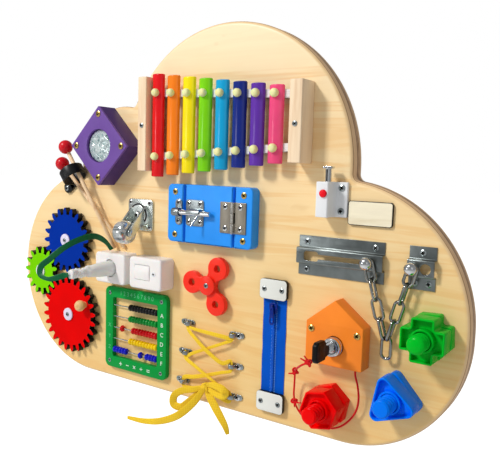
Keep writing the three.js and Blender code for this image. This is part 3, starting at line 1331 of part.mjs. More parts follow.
makeBoard();
makeLamp();
makeGears();
makeCaster();
makeWallBoxes();
makePlug();
makeRibbon();
makeLeftBlock();
makeRightBlock();
makeDoor();
makeBoltGuide();
makeBoltRod();
makePushLock();
makeNameplate();
makeTrack();
makeSlider();
makeChain();
makeZip();
makeHouse();
makeKey();
makeString();
for (const [kind, colour] of [['red', colours.red], ['green', colours.green], ['blue', colours.royal]]) {
  makeToyBolt(kind, colour);
  makeNut(kind, colour);
}
makeSpinner();
makeAbacus();
makeXylophone();
makeMallet('mallet_upper', mallet.upperBall, mallet.upperEnd);
makeMallet('mallet_lower', mallet.lowerBall, mallet.lowerEnd);
makeClip();
makeLace();

const busyBoard = new THREE.Group();
busyBoard.add(drawing);
export default busyBoard;
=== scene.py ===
import math
import bmesh
import bpy
import numpy as np
from mathutils import Matrix, Vector
from mathutils.geometry import tessellate_polygon


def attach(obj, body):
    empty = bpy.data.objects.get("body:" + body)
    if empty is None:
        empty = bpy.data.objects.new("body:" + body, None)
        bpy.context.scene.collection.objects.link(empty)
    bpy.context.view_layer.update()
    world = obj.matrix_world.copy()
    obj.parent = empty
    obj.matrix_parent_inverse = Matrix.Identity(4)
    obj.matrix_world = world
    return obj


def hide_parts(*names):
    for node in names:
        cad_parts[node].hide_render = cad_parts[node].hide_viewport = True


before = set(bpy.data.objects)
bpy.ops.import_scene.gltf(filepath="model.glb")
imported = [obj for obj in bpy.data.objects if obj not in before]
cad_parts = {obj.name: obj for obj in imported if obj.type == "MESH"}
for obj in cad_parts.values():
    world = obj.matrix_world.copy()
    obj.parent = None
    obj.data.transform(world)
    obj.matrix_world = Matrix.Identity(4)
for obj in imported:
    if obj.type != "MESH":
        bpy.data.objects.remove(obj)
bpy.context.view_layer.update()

# Shapes are drawn in millimetres as seen from the front: x right, y up, h out of the board's face.
# The board's own front face is h = 0; toRow stands the drawing up and turns it into metres.
boardThick = 25
show = bpy.context.scene.collection.objects.link


def toRow(points):
    p = np.asarray(points, float)
    return np.stack([p[..., 0], -(boardThick + p[..., 2]), p[..., 1]], -1) / 1000


view = {
    "place": (0.47135, -0.61841, 0.06631), "right": (0.8304, 0.5563, 0.0308),
    "up": (-0.0856, 0.0728, 0.9937), "back": (0.5506, -0.8278, 0.1081), "lens": 45.58,
}


def makeCamera():
    camera = bpy.data.objects.new("camera", bpy.data.cameras.new("camera"))
    show(camera)
    axes = [Vector(view[k]) for k in ("right", "up", "back")]
    turn = Matrix([[axes[c][r] for c in range(3)] for r in range(3)]).to_quaternion()
    camera.matrix_world = Matrix.Translation(view["place"]) @ turn.to_matrix().to_4x4()
    camera.data.sensor_width, camera.data.lens = 36, view["lens"]
    camera.data.clip_start, camera.data.clip_end = 0.02, 50
    bpy.context.scene.camera = camera


makeCamera()
print("camera set")


# A shape is (points, faces): an n by 3 array and a list of index lists.
def unit(v):
    return v / np.maximum(np.linalg.norm(v, axis=-1, keepdims=True), 1e-12)


def gridFaces(rows, columns, wrapColumns=True, wrapRows=False):
    # quads between neighbouring rows and columns of a grid of points
    r = np.arange(rows if wrapRows else rows - 1)[:, None]
    c = np.arange(columns if wrapColumns else columns - 1)[None, :]
    r2, c2 = (r + 1) % rows, (c + 1) % columns
    quads = np.stack(np.broadcast_arrays(r * columns + c, r * columns + c2, r2 * columns + c2, r2 * columns + c), -1)
    return quads.reshape(-1, 4).tolist()


def merged(*shapes):
    points, faces, start = [], [], 0
    for p, f in shapes:
        points.append(np.asarray(p, float).reshape(-1, 3))
        faces += [[i + start for i in face] for face in f]
        start += len(points[-1])
    return np.concatenate(points), faces


def shifted(shape, x=0, y=0, h=0, turn=0):
    # turned about its own upright axis by turn degrees, then moved
    c, s = math.cos(math.radians(turn)), math.sin(math.radians(turn))
    p = np.asarray(shape[0], float)
    q = np.stack([p[:, 0] * c - p[:, 1] * s + x, p[:, 0] * s + p[:, 1] * c + y, p[:, 2] + h], -1)
    return q, shape[1]


def aimed(shape, start, direction, side=(0, 0, 1)):
    # the shape's h axis laid along a direction, its foot at start
    w = unit(np.asarray(direction, float))
    s = np.asarray(side, float)
    if abs(w @ unit(s)) > 0.99:
        s = np.array([0.0, 1.0, 0.0])
    u = unit(np.cross(s, w))
    v = np.cross(w, u)
    p = np.asarray(shape[0], float)
    return p[:, :1] * u + p[:, 1:2] * v + p[:, 2:3] * w + np.asarray(start, float), shape[1]


def spline(points, perSpan=8):
    # centripetal Catmull-Rom: each span's knots grow with the square root of the distance
    p = np.asarray(points, float)
    p = np.concatenate([[2 * p[0] - p[1]], p, [2 * p[-1] - p[-2]]])
    k = np.maximum(np.sqrt(np.linalg.norm(np.diff(p, axis=0), axis=1)), 1e-6)
    p0, p1, p2, p3 = p[:-3], p[1:-2], p[2:-1], p[3:]
    a, b, c = k[:-2, None], k[1:-1, None], k[2:, None]
    m1 = (p1 - p0) / a - (p2 - p0) / (a + b) + (p2 - p1) / b
    m2 = (p2 - p1) / b - (p3 - p1) / (b + c) + (p3 - p2) / c
    m1, m2 = m1 * b, m2 * b
    t = np.linspace(0, 1, perSpan, endpoint=False)[None, :, None]
    h = [2 * t**3 - 3 * t**2 + 1, t**3 - 2 * t**2 + t, -2 * t**3 + 3 * t**2, t**3 - t**2]
    out = h[0] * p1[:, None] + h[1] * m1[:, None] + h[2] * p2[:, None] + h[3] * m2[:, None]
    return np.concatenate([out.reshape(-1, p.shape[1]), p[-2:-1]])


def polar(radius, angle, x=0, y=0):
    return np.stack([x + radius * np.cos(angle), y + radius * np.sin(angle)], -1)


def around(sides):
    return np.linspace(0, 2 * np.pi, sides, endpoint=False)


def circle(x, y, radius, sides=48, start=0.0):
    return polar(radius, math.radians(start) + around(sides), x, y)


def arc(x, y, radius, low, high, steps):
    return polar(radius, np.linspace(low, high, steps + 1), x, y)


def roundedLoop(corners, radius, steps=6):
    # every corner becomes an arc whose centre lies radius / sin(half the corner) along its bisector
    p = np.asarray(corners, float)
    r = np.maximum(np.broadcast_to(np.asarray(radius, float), (len(p),)), 0.02)[:, None]
    a, b = unit(np.roll(p, 1, 0) - p), unit(np.roll(p, -1, 0) - p)
    half = np.arccos(np.clip((a * b).sum(1), -1, 1))[:, None] / 2
    centre = p + unit(a + b) * r / np.sin(half)
    s, e = p + a * r / np.tan(half) - centre, p + b * r / np.tan(half) - centre
    first = np.arctan2(s[:, 1], s[:, 0])[:, None]
    sweep = (np.arctan2(e[:, 1], e[:, 0])[:, None] - first + np.pi) % (2 * np.pi) - np.pi
    t = first + sweep * np.linspace(0, 1, steps + 1)
    return (centre[:, None] + r[:, None] * np.stack([np.cos(t), np.sin(t)], -1)).reshape(-1, 2)


def rectangle(x, y, width, height, radius=0.5, steps=6):
    return roundedLoop([(x, y), (x + width, y), (x + width, y + height), (x, y + height)], radius, steps)


def inset(loop, amount):
    # each point moves along the mitre of its two edges; a counter-clockwise loop shrinks
    d = unit(np.roll(loop, -1, 0) - loop)
    n = np.stack([d[:, 1], -d[:, 0]], -1)
    m = unit(n + np.roll(n, 1, 0))
    return loop - m * (amount / np.clip((m * n).sum(1), 0.35, 1))[:, None]


def wall(loop, rows):
    # a profile of (inset, h) pairs carried round a loop
    points = np.concatenate([np.column_stack([inset(loop, i), np.full(len(loop), h)]) for i, h in rows])
    return points, gridFaces(len(rows), len(loop))


def lid(loop, h, holes=()):
    # a flat face between an outline and its holes
    loops = [loop, *holes]
    faces = tessellate_polygon([[Vector((p[0], p[1], 0)) for p in one] for one in loops])
    flat = np.concatenate(loops)
    return np.column_stack([flat, np.full(len(flat), h)]), [list(f) for f in faces]


def rimRows(back, front, rim, steps=3, backRim=None):
    # quarter circles at both edges of a plate, as (inset, h) pairs
    t = np.linspace(0, np.pi / 2, steps + 1)
    low = rim if backRim is None else backRim
    start = np.column_stack([low * (1 - np.sin(t)), back + low * (1 - np.cos(t))])
    end = np.column_stack([rim * (1 - np.cos(t)), front - rim * (1 - np.sin(t))])
    return np.concatenate([start, end])


def plate(loop, back, front, rim=0.6, holes=(), steps=3, backRim=None, holeRim=None):
    # walls with rounded edges, then the two lids: returns (walls, front lid, back lid)
    low = rim if backRim is None else backRim
    h = rim if holeRim is None else holeRim
    walls = [wall(loop, rimRows(back, front, rim, steps, low))]
    walls += [wall(hole, rimRows(back, front, h, steps) * np.array([-1, 1])) for hole in holes]
    wide = [inset(hole, -h) for hole in holes]
    return merged(*walls), lid(inset(loop, rim), front, wide), lid(inset(loop, low), back, wide)


def solidPlate(*args, **kw):
    return merged(*plate(*args, **kw))


def lathe(profile, sides=40, x=0, y=0, h=0):
    # (radius, height) pairs turned about the upright axis
    p = np.asarray(profile, float)
    t = around(sides)[None, :]
    points = np.stack([p[:, :1] * np.cos(t) + x, p[:, :1] * np.sin(t) + y,
        np.broadcast_to(p[:, 1:] + h, (len(p), sides))], -1)
    return points.reshape(-1, 3), gridFaces(len(p), sides)


def tube(path, radius, sides=12, ref=(0, 0, 1), flat=1.0, closed=False, power=2.0):
    # an oval carried along a path: its wide axis is square to the path and to ref, flat is its thin share
    p = np.asarray(path, float)
    if closed:
        tangent = unit(np.roll(p, -1, 0) - np.roll(p, 1, 0))
    else:
        tangent = unit(np.gradient(p, axis=0))
    ref = np.broadcast_to(np.asarray(ref, float), p.shape)
    wide = unit(np.cross(tangent, ref))
    thin = np.cross(wide, tangent)
    r = np.broadcast_to(np.asarray(radius, float), (len(p),))[:, None, None]
    t = around(sides)[None, :, None]
    c, s = np.cos(t), np.sin(t)
    c, s = np.sign(c) * np.abs(c) ** (2 / power), np.sign(s) * np.abs(s) ** (2 / power)
    points = p[:, None] + r * (wide[:, None] * c + thin[:, None] * s * flat)
    faces = gridFaces(len(p), sides, True, closed)
    if not closed:
        faces += [list(range(sides)), list(range((len(p) - 1) * sides, len(p) * sides))]
    return points.reshape(-1, 3), faces


def ball(radius, rows=20, sides=32):
    t = np.linspace(-np.pi / 2, np.pi / 2, rows)
    return lathe(np.column_stack([radius * np.cos(t), radius * np.sin(t)]), sides)


def rod(radius, length, rim=0.4, sides=28):
    return lathe([(0, 0), (radius - rim, 0), (radius, rim), (radius, length - rim), (radius - rim, length),
        (0, length)], sides)


def smooth(x, low, high):
    t = np.clip((x - low) / (high - low), 0, 1)
    return t * t * (3 - 2 * t)


def piece(name, parts, body="root", stands=(), crease=32):
    # parts is a list of (shape or list of shapes, name of a finish)
    shapes, slots, used = [], [], []
    for shape, key in parts:
        for one in shape if isinstance(shape, list) else [shape]:
            shapes.append(one)
            if key not in used:
                used.append(key)
            slots += [used.index(key)] * len(one[1])
    points, faces = merged(*shapes)
    mesh = bpy.data.meshes.new(name)
    mesh.from_pydata(toRow(points).tolist(), [], faces)
    for key in used:
        mesh.materials.append(finish[key])
    mesh.polygons.foreach_set("material_index", slots)
    mesh.polygons.foreach_set("use_smooth", [True] * len(faces))
    work = bmesh.new()
    work.from_mesh(mesh)
    bmesh.ops.remove_doubles(work, verts=work.verts, dist=1e-6)
    bmesh.ops.dissolve_degenerate(work, edges=work.edges, dist=1e-7)
    bmesh.ops.recalc_face_normals(work, faces=work.faces)
    work.to_mesh(mesh)
    work.free()
    mesh.set_sharp_from_angle(angle=math.radians(crease))
    obj = bpy.data.objects.new(name, mesh)
    show(obj)
    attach(obj, body)
    if stands:
        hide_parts(*([stands] if isinstance(stands, str) else stands))
    return obj


def rgb(r, g, b):
    return tuple((np.array([r, g, b]) / 255.0) ** 2.2) + (1.0,)


class Wire:
    # a socket that can be added, multiplied and so on
    def __init__(self, nodes, socket):
        self.nodes, self.socket = nodes, socket

    def math(self, operation, other, swap=False):
        first, second = (other, self) if swap else (self, other)
        return self.nodes.add("ShaderNodeMath", {"operation": operation}, {0: first, 1: second})

    def __add__(self, other):
        return self.math("ADD", other)

    def __sub__(self, other):
        return self.math("SUBTRACT", other)

    def __rsub__(self, other):
        return self.math("SUBTRACT", other, True)

    def __mul__(self, other):
        return self.math("MULTIPLY", other)

    __radd__, __rmul__ = __add__, __mul__

    def wave(self):
        return self.math("SINE", 0)

    def between(self, low, high):
        # 0 below low, 1 above high
        return self.nodes.add("ShaderNodeMapRange", {}, {"Value": self, "From Min": low, "From Max": high})


class Nodes:
    # a node tree that is fed with values and wires
    def __init__(self, tree):
        self.tree = tree

    def feed(self, socket, value):
        if isinstance(value, Wire):
            self.tree.links.new(value.socket, socket)
        else:
            socket.default_value = value

    def add(self, kind, settings=None, inputs=None, output=0):
        node = self.tree.nodes.new(kind)
        for key, value in (settings or {}).items():
            if key == "stops":
                ramp = node.color_ramp
                while len(ramp.elements) < len(value):
                    ramp.elements.new(0.5)
                for element, (at, colour) in zip(ramp.elements, value):
                    element.position, element.color = at, colour
            else:
                setattr(node, key, value)
        for key, value in (inputs or {}).items():
            self.feed(node.inputs[key], value)
        return Wire(self, node.outputs[output])


class Paint(Nodes):
    # one material and the nodes that make it
    def __init__(self, name, colour, rough=0.4, **sockets):
        self.material = bpy.data.materials.new(name)
        self.material.use_nodes = True
        super().__init__(self.material.node_tree)
        self.shader = next(n for n in self.tree.nodes if n.type == "BSDF_PRINCIPLED")
        self.set("Base Color", colour)
        self.set("Roughness", rough)
        for key, value in sockets.items():
            self.set(key.replace("_", " "), value)

    def set(self, key, value):
        self.feed(self.shader.inputs[key], value)
        return self

    def place(self, scale=(1, 1, 1), move=(0, 0, 0)):
        spot = self.add("ShaderNodeTexCoord", output=3)
        return self.add("ShaderNodeMapping", {}, {"Vector": spot, "Scale": scale, "Location": move})

    def axis(self, name):
        spot = self.add("ShaderNodeTexCoord", output=3)
        return self.add("ShaderNodeSeparateXYZ", {}, {0: spot}, "XYZ".index(name))

    def noise(self, scale, stretch=(1, 1, 1), detail=3.0, distortion=0.0, move=(0, 0, 0)):
        return self.add("ShaderNodeTexNoise", {}, {
            "Vector": self.place(stretch, move), "Scale": scale, "Detail": detail, "Distortion": distortion})

    def blend(self, factor, a, b):
        return self.add("ShaderNodeMix", {"data_type": "RGBA"}, {0: factor, 6: a, 7: b}, 2)

    def ramp(self, factor, stops):
        return self.add("ShaderNodeValToRGB", {"stops": stops}, {0: factor})

    def bump(self, height, strength=0.3, distance=0.0005):
        self.set("Normal", self.add("ShaderNodeBump", {},
            {"Height": height, "Strength": strength, "Distance": distance}))
        return self


def shade(colour, factor):
    return tuple(min(1.0, c * factor) for c in colour[:3]) + (1.0,)


def birchPly():
    # pale face with long soft grain along x, paler and creamier towards the top left and darker towards the bottom
    # right: painted light and shade;
    # the sanded edge shows its layers: a pale one next to the face, a thin glue line, a tan one, a glue line, a brown
    # end-grain one
    p = Paint("birch_ply", (1, 1, 1, 1), 0.42, Coat_Weight=0.1, Coat_Roughness=0.3, Specular_IOR_Level=0.3)
    broad = p.noise(5, (0.9, 1, 5.5), 3, 1.2)
    streak = p.noise(34, (0.35, 1, 7), 4, 0.5, (3, 0, 1))
    fine = p.noise(240, (0.12, 1, 3), 2)
    rings = (p.axis("Z") * 95 + broad * 26).wave() * 0.5 + 0.5
    face = p.ramp(broad * 0.5 + streak * 0.28 + rings * 0.1 + fine * 0.12, [
        (0.28, rgb(232, 190, 124)), (0.42, rgb(240, 202, 140)),
        (0.56, rgb(246, 214, 156)), (0.72, rgb(250, 224, 172))])
    # the face turns paler towards the top left and darker towards the bottom right: painted light and shade
    painted_light_across = (p.axis("Z") - p.axis("X") * 0.08).between(-0.14, 0.23)
    face = p.blend(painted_light_across, p.blend(0.55, face, rgb(238, 196, 122)), p.blend(0.66, face, rgb(254, 237, 204)))
    lines = p.noise(3.2, (0.5, 1, 7), 5, 2.2, (1, 0, 4))
    face = p.blend(lines.between(0.5, 0.56) * lines.between(0.64, 0.58) * 0.4, face, rgb(232, 178, 104))
    knots = p.noise(16, (1, 1, 2.2), 2, 0.3, (7, 0, 2)).between(0.7, 0.78)
    face = p.blend(knots * 0.35, face, rgb(206, 156, 92))
    depth = p.axis("Y") + p.noise(9, (1, 1, 1), 2) * 0.0012 - 0.0006
    fleck = p.noise(420, (0.25, 1, 0.25), 3).between(0.4, 0.62)
    brown = p.blend(fleck, rgb(166, 126, 88), rgb(206, 166, 124))
    tan = p.blend(fleck * 0.5, rgb(240, 200, 152), rgb(220, 176, 126))
    pale = p.blend(fleck * 0.3, rgb(240, 206, 156), rgb(226, 184, 130))
    line = rgb(150, 106, 76)
    edge = pale
    for low, high, layer in [(-0.0226, -0.0223, line), (-0.0219, -0.0216, tan), (-0.0142, -0.0137, line),
                             (-0.0127, -0.0120, brown), (-0.0082, -0.0076, tan), (-0.0036, -0.0032, brown)]:
        edge = p.blend(depth.between(low, high), edge, layer)
    gap = p.noise(26, (1, 6, 1), 2, 0, (5, 0, 3)).between(0.72, 0.76)
    edge = p.blend(gap * 0.8, edge, rgb(88, 62, 44))
    rim = p.axis("Y").between(-0.0247, -0.0241) * p.axis("Y").between(-0.0004, -0.0008)
    p.set("Base Color", p.blend(rim, face, edge))
    p.set("Roughness", 0.36 + streak * 0.18)
    p.bump(streak * 0.6 + fine * 0.4, 0.1, 0.0004)
    return p.material


def paintedWood(name, colour, rough=0.42, coat=0.06):
    # brushed-on satin paint: faint grain under it, slightly worn tone from place to place
    colour = rgb(*colour)
    p = Paint(name, colour, rough, Coat_Weight=coat, Coat_Roughness=0.2, Specular_IOR_Level=0.16)
    tone, grain = p.noise(22, (1, 1, 1), 3), p.noise(130, (0.3, 1, 1), 3)
    p.set("Base Color", p.blend(tone.between(0.3, 0.7), shade(colour, 0.9), shade(colour, 1.08)))
    p.set("Roughness", rough - 0.06 + grain * 0.14)
    p.bump(grain, 0.1, 0.0003)
    return p.material


def mouldedPlastic(name, colour, rough=0.28, variation=0.06, weight=0.0, sheen=0.28):
    # smooth mould skin: a faint orange-peel and hardly any change of tone
    colour = rgb(*colour)
    p = Paint(name, colour, rough, Subsurface_Weight=weight, Subsurface_Scale=0.003, Specular_IOR_Level=sheen)
    tone, skin = p.noise(30, detail=2), p.noise(900, detail=2)
    p.set("Base Color", p.blend(tone.between(0.3, 0.7), shade(colour, 1 - variation), shade(colour, 1 + variation)))
    p.set("Roughness", rough + tone * 0.08 - 0.04)
    p.bump(skin, 0.05, 0.0001)
    return p.material


def metal(name, colour, rough, grain=(1, 1, 1), scale=300, change=0.12, bump=0.05):
    # bare or plated metal: fine marks along one way, drifting tone
    colour = rgb(*colour)
    p = Paint(name, colour, rough, Metallic=1.0)
    mark, tone = p.noise(scale, grain, 3), p.noise(45, detail=3)
    p.set("Base Color", p.blend(tone.between(0.3, 0.7), shade(colour, 1 - change), shade(colour, 1 + change)))
    p.set("Roughness", mark * 0.22 + (rough - 0.11))
    p.bump(mark, bump, 0.0002)
    return p.material


def timber(name, pale, dark, stretch=(1, 1, 0.12), rough=0.5):
    # sawn wood: streaks drawn out along the piece
    pale, dark = rgb(*pale), rgb(*dark)
    p = Paint(name, pale, rough)
    streak, fine = p.noise(95, stretch, 4, 0.6), p.noise(420, stretch, 2)
    p.set("Base Color", p.ramp(streak * 0.75 + fine * 0.25, [(0.32, dark), (0.52, pale), (0.7, shade(pale, 1.06))]))
    p.set("Roughness", rough - 0.05 + fine * 0.12)
    p.bump(streak + fine, 0.12, 0.0003)
    return p.material


def weave(name, colour, pitch=1500, rough=0.75, sheen=0.15, level=0.25):
    # woven band: fine crossing ribs, darker between the threads as painted shade
    colour = rgb(*colour)
    p = Paint(name, colour, rough, Sheen_Weight=sheen, Specular_IOR_Level=level)
    rib = (p.axis("X") * pitch).wave() * 0.5 + (p.axis("Z") * pitch).wave() * 0.5
    tone = p.noise(60, detail=3)
    p.set("Base Color", p.blend(rib * 0.25 + tone * 0.6, shade(colour, 0.78), shade(colour, 1.15)))
    p.bump(rib * 0.5 + tone * 0.5, 0.35, 0.0003)
    return p.material


def lensClear():
    # clear faceted lens over a silver reflector: the dark curls and bright patches in its colour are painted
    # reflections and highlights
    p = Paint("lens_clear", rgb(205, 222, 226), 0.08, Coat_Weight=0.6, Coat_Roughness=0.05)
    cells = p.add("ShaderNodeTexVoronoi", {}, {"Vector": p.place(), "Scale": 130.0})
    painted_light_swirl = p.noise(150, detail=3, distortion=2.2)
    # painted reflections and highlights: dark curls and near-white patches
    p.set("Base Color", p.ramp(painted_light_swirl, [
        (0.32, rgb(58, 82, 86)), (0.43, rgb(150, 176, 178)), (0.57, rgb(238, 248, 248)), (0.7, rgb(112, 140, 144))]))
    p.set("Metallic", painted_light_swirl.between(0.4, 0.6) * 0.5)
    p.bump(cells + painted_light_swirl * 0.7, 0.5, 0.0009)
    return p.material


def gelWheel():
    # glassy wheel with streaks of light and shade inside it
    p = Paint("gel_wheel", rgb(196, 202, 204), 0.1, Coat_Weight=0.8, Coat_Roughness=0.05)
    painted_light_swirl = p.noise(85, (0.25, 1, 1), 3, 1.8)
    p.set("Base Color", p.ramp(painted_light_swirl, [(0.34, rgb(86, 92, 94)), (0.46, rgb(172, 178, 180)),
        (0.56, rgb(236, 240, 240)), (0.7, rgb(140, 148, 150))]))
    p.set("Metallic", painted_light_swirl.between(0.35, 0.6) * 0.75)
    p.bump(painted_light_swirl, 0.3, 0.0008)
    return p.material


# colour, roughness, coat
paints = {
    # the darker purple is painted shade for the light box's sides
    "purple_paint": ((112, 80, 158),), "purple_shade": ((74, 50, 110),), "blue_paint": ((46, 148, 250), 0.34),
    "orange_paint": ((255, 136, 46), 0.38),
}
# colour, roughness, change of tone, subsurface weight, specular level
plastics = {
    "gear_red_face": ((222, 0, 4), 0.42, 0.06, 0.0, 0.03), "gear_lime_face": ((118, 208, 0), 0.42, 0.06, 0.0, 0.03),
    "gear_blue_face": ((0, 50, 152), 0.42, 0.06, 0.0, 0.03), "burnt_edge": ((14, 13, 14), 0.3, 0.25),
    "white_plastic": ((238, 234, 232), 0.3, 0.015, 0.1), "plug_white": ((232, 233, 231), 0.34, 0.03, 0.1),
    # the grey is painted shade for the gap round the switch rocker
    "cap_white": ((222, 214, 236), 0.3, 0.03), "groove_grey": ((120, 116, 114), 0.5),
    "lock_grey": ((232, 234, 237), 0.36, 0.02), "spinner_red": ((246, 50, 32), 0.3, 0.04, 0.1),
    "nut_red": ((240, 6, 10), 0.24, 0.05, 0.12, 0.07), "nut_green": ((0, 184, 44), 0.24, 0.05, 0.12, 0.07),
    "nut_blue": ((0, 120, 250), 0.24, 0.05, 0.12, 0.07), "button_red": ((238, 12, 34), 0.3),
    "abacus_green": ((0, 146, 62), 0.32, 0.05, 0.0, 0.12), "sign_white": ((222, 236, 224), 0.4),
    "digit_green": ((92, 190, 130), 0.4), "black_rubber": ((24, 25, 27), 0.36, 0.3),
    "key_black": ((20, 19, 20), 0.38, 0.2, 0.0, 0.16), "pin_pale": ((232, 232, 168), 0.4, 0.04, 0.2),
    "mallet_red": ((206, 18, 34), 0.3, 0.06), "zip_teeth": ((10, 88, 200), 0.4, 0.1, 0.0, 0.15),
    "zip_slider": ((0, 42, 132), 0.2, 0.1), "plate_white": ((226, 228, 222), 0.36, 0.02),
    "zip_stitch": ((96, 150, 226), 0.6, 0.06, 0.0, 0.1),
}
# colour, roughness, grain, scale, change of tone, bump
metals = {
    "chrome": ((208, 211, 213), 0.15, (1, 1, 1), 60, 0.12, 0.02),
    "fork_zinc": ((216, 224, 220), 0.26, (1, 1, 1), 120, 0.14, 0.03),
    "zinc_plate": ((158, 166, 168), 0.3, (1, 1, 1), 170, 0.25),
    "brushed_steel": ((124, 131, 131), 0.32, (0.06, 1, 1), 420, 0.3, 0.14),
    # the knuckles' metal is lighter than the leaves' metal: painted highlight on the round barrel
    "hinge_barrel": ((214, 210, 202), 0.26, (1, 1, 1), 200, 0.1),
    "satin_nickel": ((152, 145, 133), 0.4, (1, 1, 0.08), 420, 0.1, 0.1),
    # the dark metal is painted shade in screw crosses, grooves and hollows
    "brass": ((206, 176, 104), 0.3, (1, 1, 1), 120, 0.15), "dark_recess": ((46, 44, 40), 0.5),
    "link_steel": ((158, 160, 156), 0.13, (1, 1, 1), 90, 0.25, 0.03),
}
# pale and dark tone, stretch, roughness
timbers = {
    "beech": ((232, 188, 128), (206, 154, 96), (1, 1, 1)),
    "post_wood": ((244, 218, 184), (226, 190, 150), (1, 1, 0.07)),
    "stick_wood": ((240, 206, 164), (214, 166, 118), (1, 1, 0.4)),
    "name_wood": ((240, 230, 202), (226, 212, 178), (0.15, 1, 1)),
}
# colour, pitch, roughness, sheen, specular level
weaves = {
    "rail_felt": ((238, 238, 236), 2600, 0.85), "ribbon_green": ((0, 98, 58), 2100, 0.42, 0.0),
    "lace_yellow": ((255, 206, 46), 2400, 0.8, 0.05), "string_red": ((224, 14, 26), 5200, 0.7, 0.05),
    "zip_tape": ((0, 88, 204), 3300, 0.6, 0.0, 0.06),
}
finish = {"birch_ply": birchPly(), "lens_clear": lensClear(), "gel_wheel": gelWheel()}
makers = [(paintedWood, paints), (mouldedPlastic, plastics), (metal, metals), (timber, timbers), (weave, weaves)]
for make, table in makers:
    finish.update({name: make(name, *row) for name, row in table.items()})
barColours = [(226, 16, 26), (255, 128, 24), (252, 226, 0), (120, 208, 0), (0, 160, 214), (16, 40, 128),
    (96, 50, 164), (238, 76, 126)]
finish.update({f"bar_paint_{i}": paintedWood(f"bar_paint_{i}", c, 0.2, 0.55) for i, c in enumerate(barColours)})
print("finishes made:", len(finish))


def screwShape(radius, height, turn=20, rows=9, sides=32):
    # a dome of height falling with the square of the radius, a cross pressed into it
    r = np.concatenate([np.linspace(0, 0.62, rows - 3), [0.8, 0.95, 1.0]])[:, None]
    t = around(sides)[None, :] + math.radians(turn)
    x, y = r * np.cos(t), r * np.sin(t)
    u, v = r * np.cos(t - math.radians(turn)), r * np.sin(t - math.radians(turn))
    arm = np.maximum((1 - smooth(np.abs(u), 0.1, 0.2)) * (1 - smooth(np.abs(v), 0.46, 0.58)),
                     (1 - smooth(np.abs(v), 0.1, 0.2)) * (1 - smooth(np.abs(u), 0.46, 0.58)))
    h = height * (1 - 0.62 * r**2 + 0 * t) - arm * height * 0.75
    points = np.stack([x * radius, y * radius, h], -1).reshape(-1, 3)
    foot = np.stack([x[-1] * radius, y[-1] * radius, np.full(sides, -0.15)], -1)
    faces = np.array(gridFaces(len(r), sides))
    pressed = arm.reshape(-1)[faces].mean(1) > 0.35
    last, size = (len(r) - 1) * sides, len(points)
    under = [[last + i, last + (i + 1) % sides, size + (i + 1) % sides, size + i] for i in range(sides)]
    bottom = [[len(points) + i for i in range(sides)]]
    everything = np.concatenate([points, foot])
    return (everything, faces[~pressed].tolist() + under + bottom), (everything, faces[pressed].tolist())


def screws(places, radius=3.6, height=1.8, metalName="brass"):
    # the same head at each place, turned a little differently
    heads, marks = [], []
    for k, (x, y, h) in enumerate(places):
        head, mark = screwShape(radius, height, 17 + 41 * k)
        heads.append(shifted(head, x, y, h))
        marks.append(shifted(mark, x, y, h))
    # the pressed cross takes the dark finish: painted shade in the recess
    return [(heads, metalName), (marks, "dark_recess")]


def sideways(shape, x=0, y=0, h=0):
    # a plate drawn in (y, h) whose thickness lies along x
    p = np.asarray(shape[0], float)
    return np.stack([p[:, 2] + x, p[:, 0] + y, p[:, 1] + h], -1), shape[1]


def upright(shape, x=0, y=0, h=0):
    # a plate drawn in (x, h) whose thickness lies along y
    p = np.asarray(shape[0], float)
    return np.stack([p[:, 0] + x, p[:, 2] + y, p[:, 1] + h], -1), shape[1]


# Each route is the one that the part's own solid follows, so the cord lies where that solid is.
ribbonBand = {"width": 7.5, "thin": 0.13, "route": [
    (-131, -47.9, 12), (-131, -36, 24), (-132.7, -28.5, 40), (-136, -31, 60),
    (-142, -40, 80), (-152, -54, 94), (-160, -64, 101), (-158, -73, 103),
    (-146, -77, 101), (-134, -74, 96), (-128, -71.5, 91.8), (-122.3, -70.2, 90.6)]}
keyString = {"width": 2.1, "route": [
    (188.5, -123.7, 57), (180.5, -128, 55), (172, -134, 47), (163, -140.5, 35),
    (155, -147, 23), (149.5, -154, 14), (147.2, -161, 10), (146, -170, 8),
    (145.5, -182, 7), (148, -193, 6), (157, -203.5, 5), (170, -208.5, 5),
    (185, -209, 5), (199, -204.5, 5), (211, -194, 6), (219, -181, 7),
    (221.5, -168, 8), (220, -153, 9), (217.5, -143, 10), (217.2, -136.3, 10)]}
laceBand = {"width": 5.4, "bow": 9.4, "thin": 0.2, "bowThin": 0.11}
# The lacing from the knot through the six eyelets and back to the knot, run by run.
laceRuns = [
    [(28, -198.5, 9), (36, -202, 8), (48, -208, 7), (58, -209.5, 6), (60, -203, 4.8)],
    [(60, -205, 4.8), (59, -198, 7), (50, -193, 11), (30, -184.5, 11), (10, -176, 10),
     (-8.5, -169.5, 6), (-9.2, -162.5, 4.8)],
    [(-9.2, -162.5, 4.8), (-7, -168, 5.8), (0, -163.5, 6.5), (25, -152, 7),
     (50, -140.5, 7), (59.5, -135.5, 5.8), (60, -129, 4.8)],
    [(60, -129, 4.8), (58, -134, 6.5), (50, -133, 8.5), (28, -132, 9), (4, -131, 8),
     (-4.5, -130, 6), (-6, -125.5, 4.8)],
    [(-6, -125.5, 4.8), (-5.5, -132.5, 6.5), (10, -142.5, 10), (30, -155, 11),
     (50, -164.5, 9), (59, -161, 6), (60, -168, 4.8)],
    [(60, -166, 4.8), (59.5, -172.5, 5.8), (48, -176.5, 7), (27, -184, 7.5), (5, -191, 7),
     (-10, -195, 6), (-12.4, -201.5, 4.8)],
    [(-12.4, -199.5, 4.8), (-11, -205.5, 6), (4, -204.5, 7.5), (17, -200.5, 9), (26, -198, 9)],
]
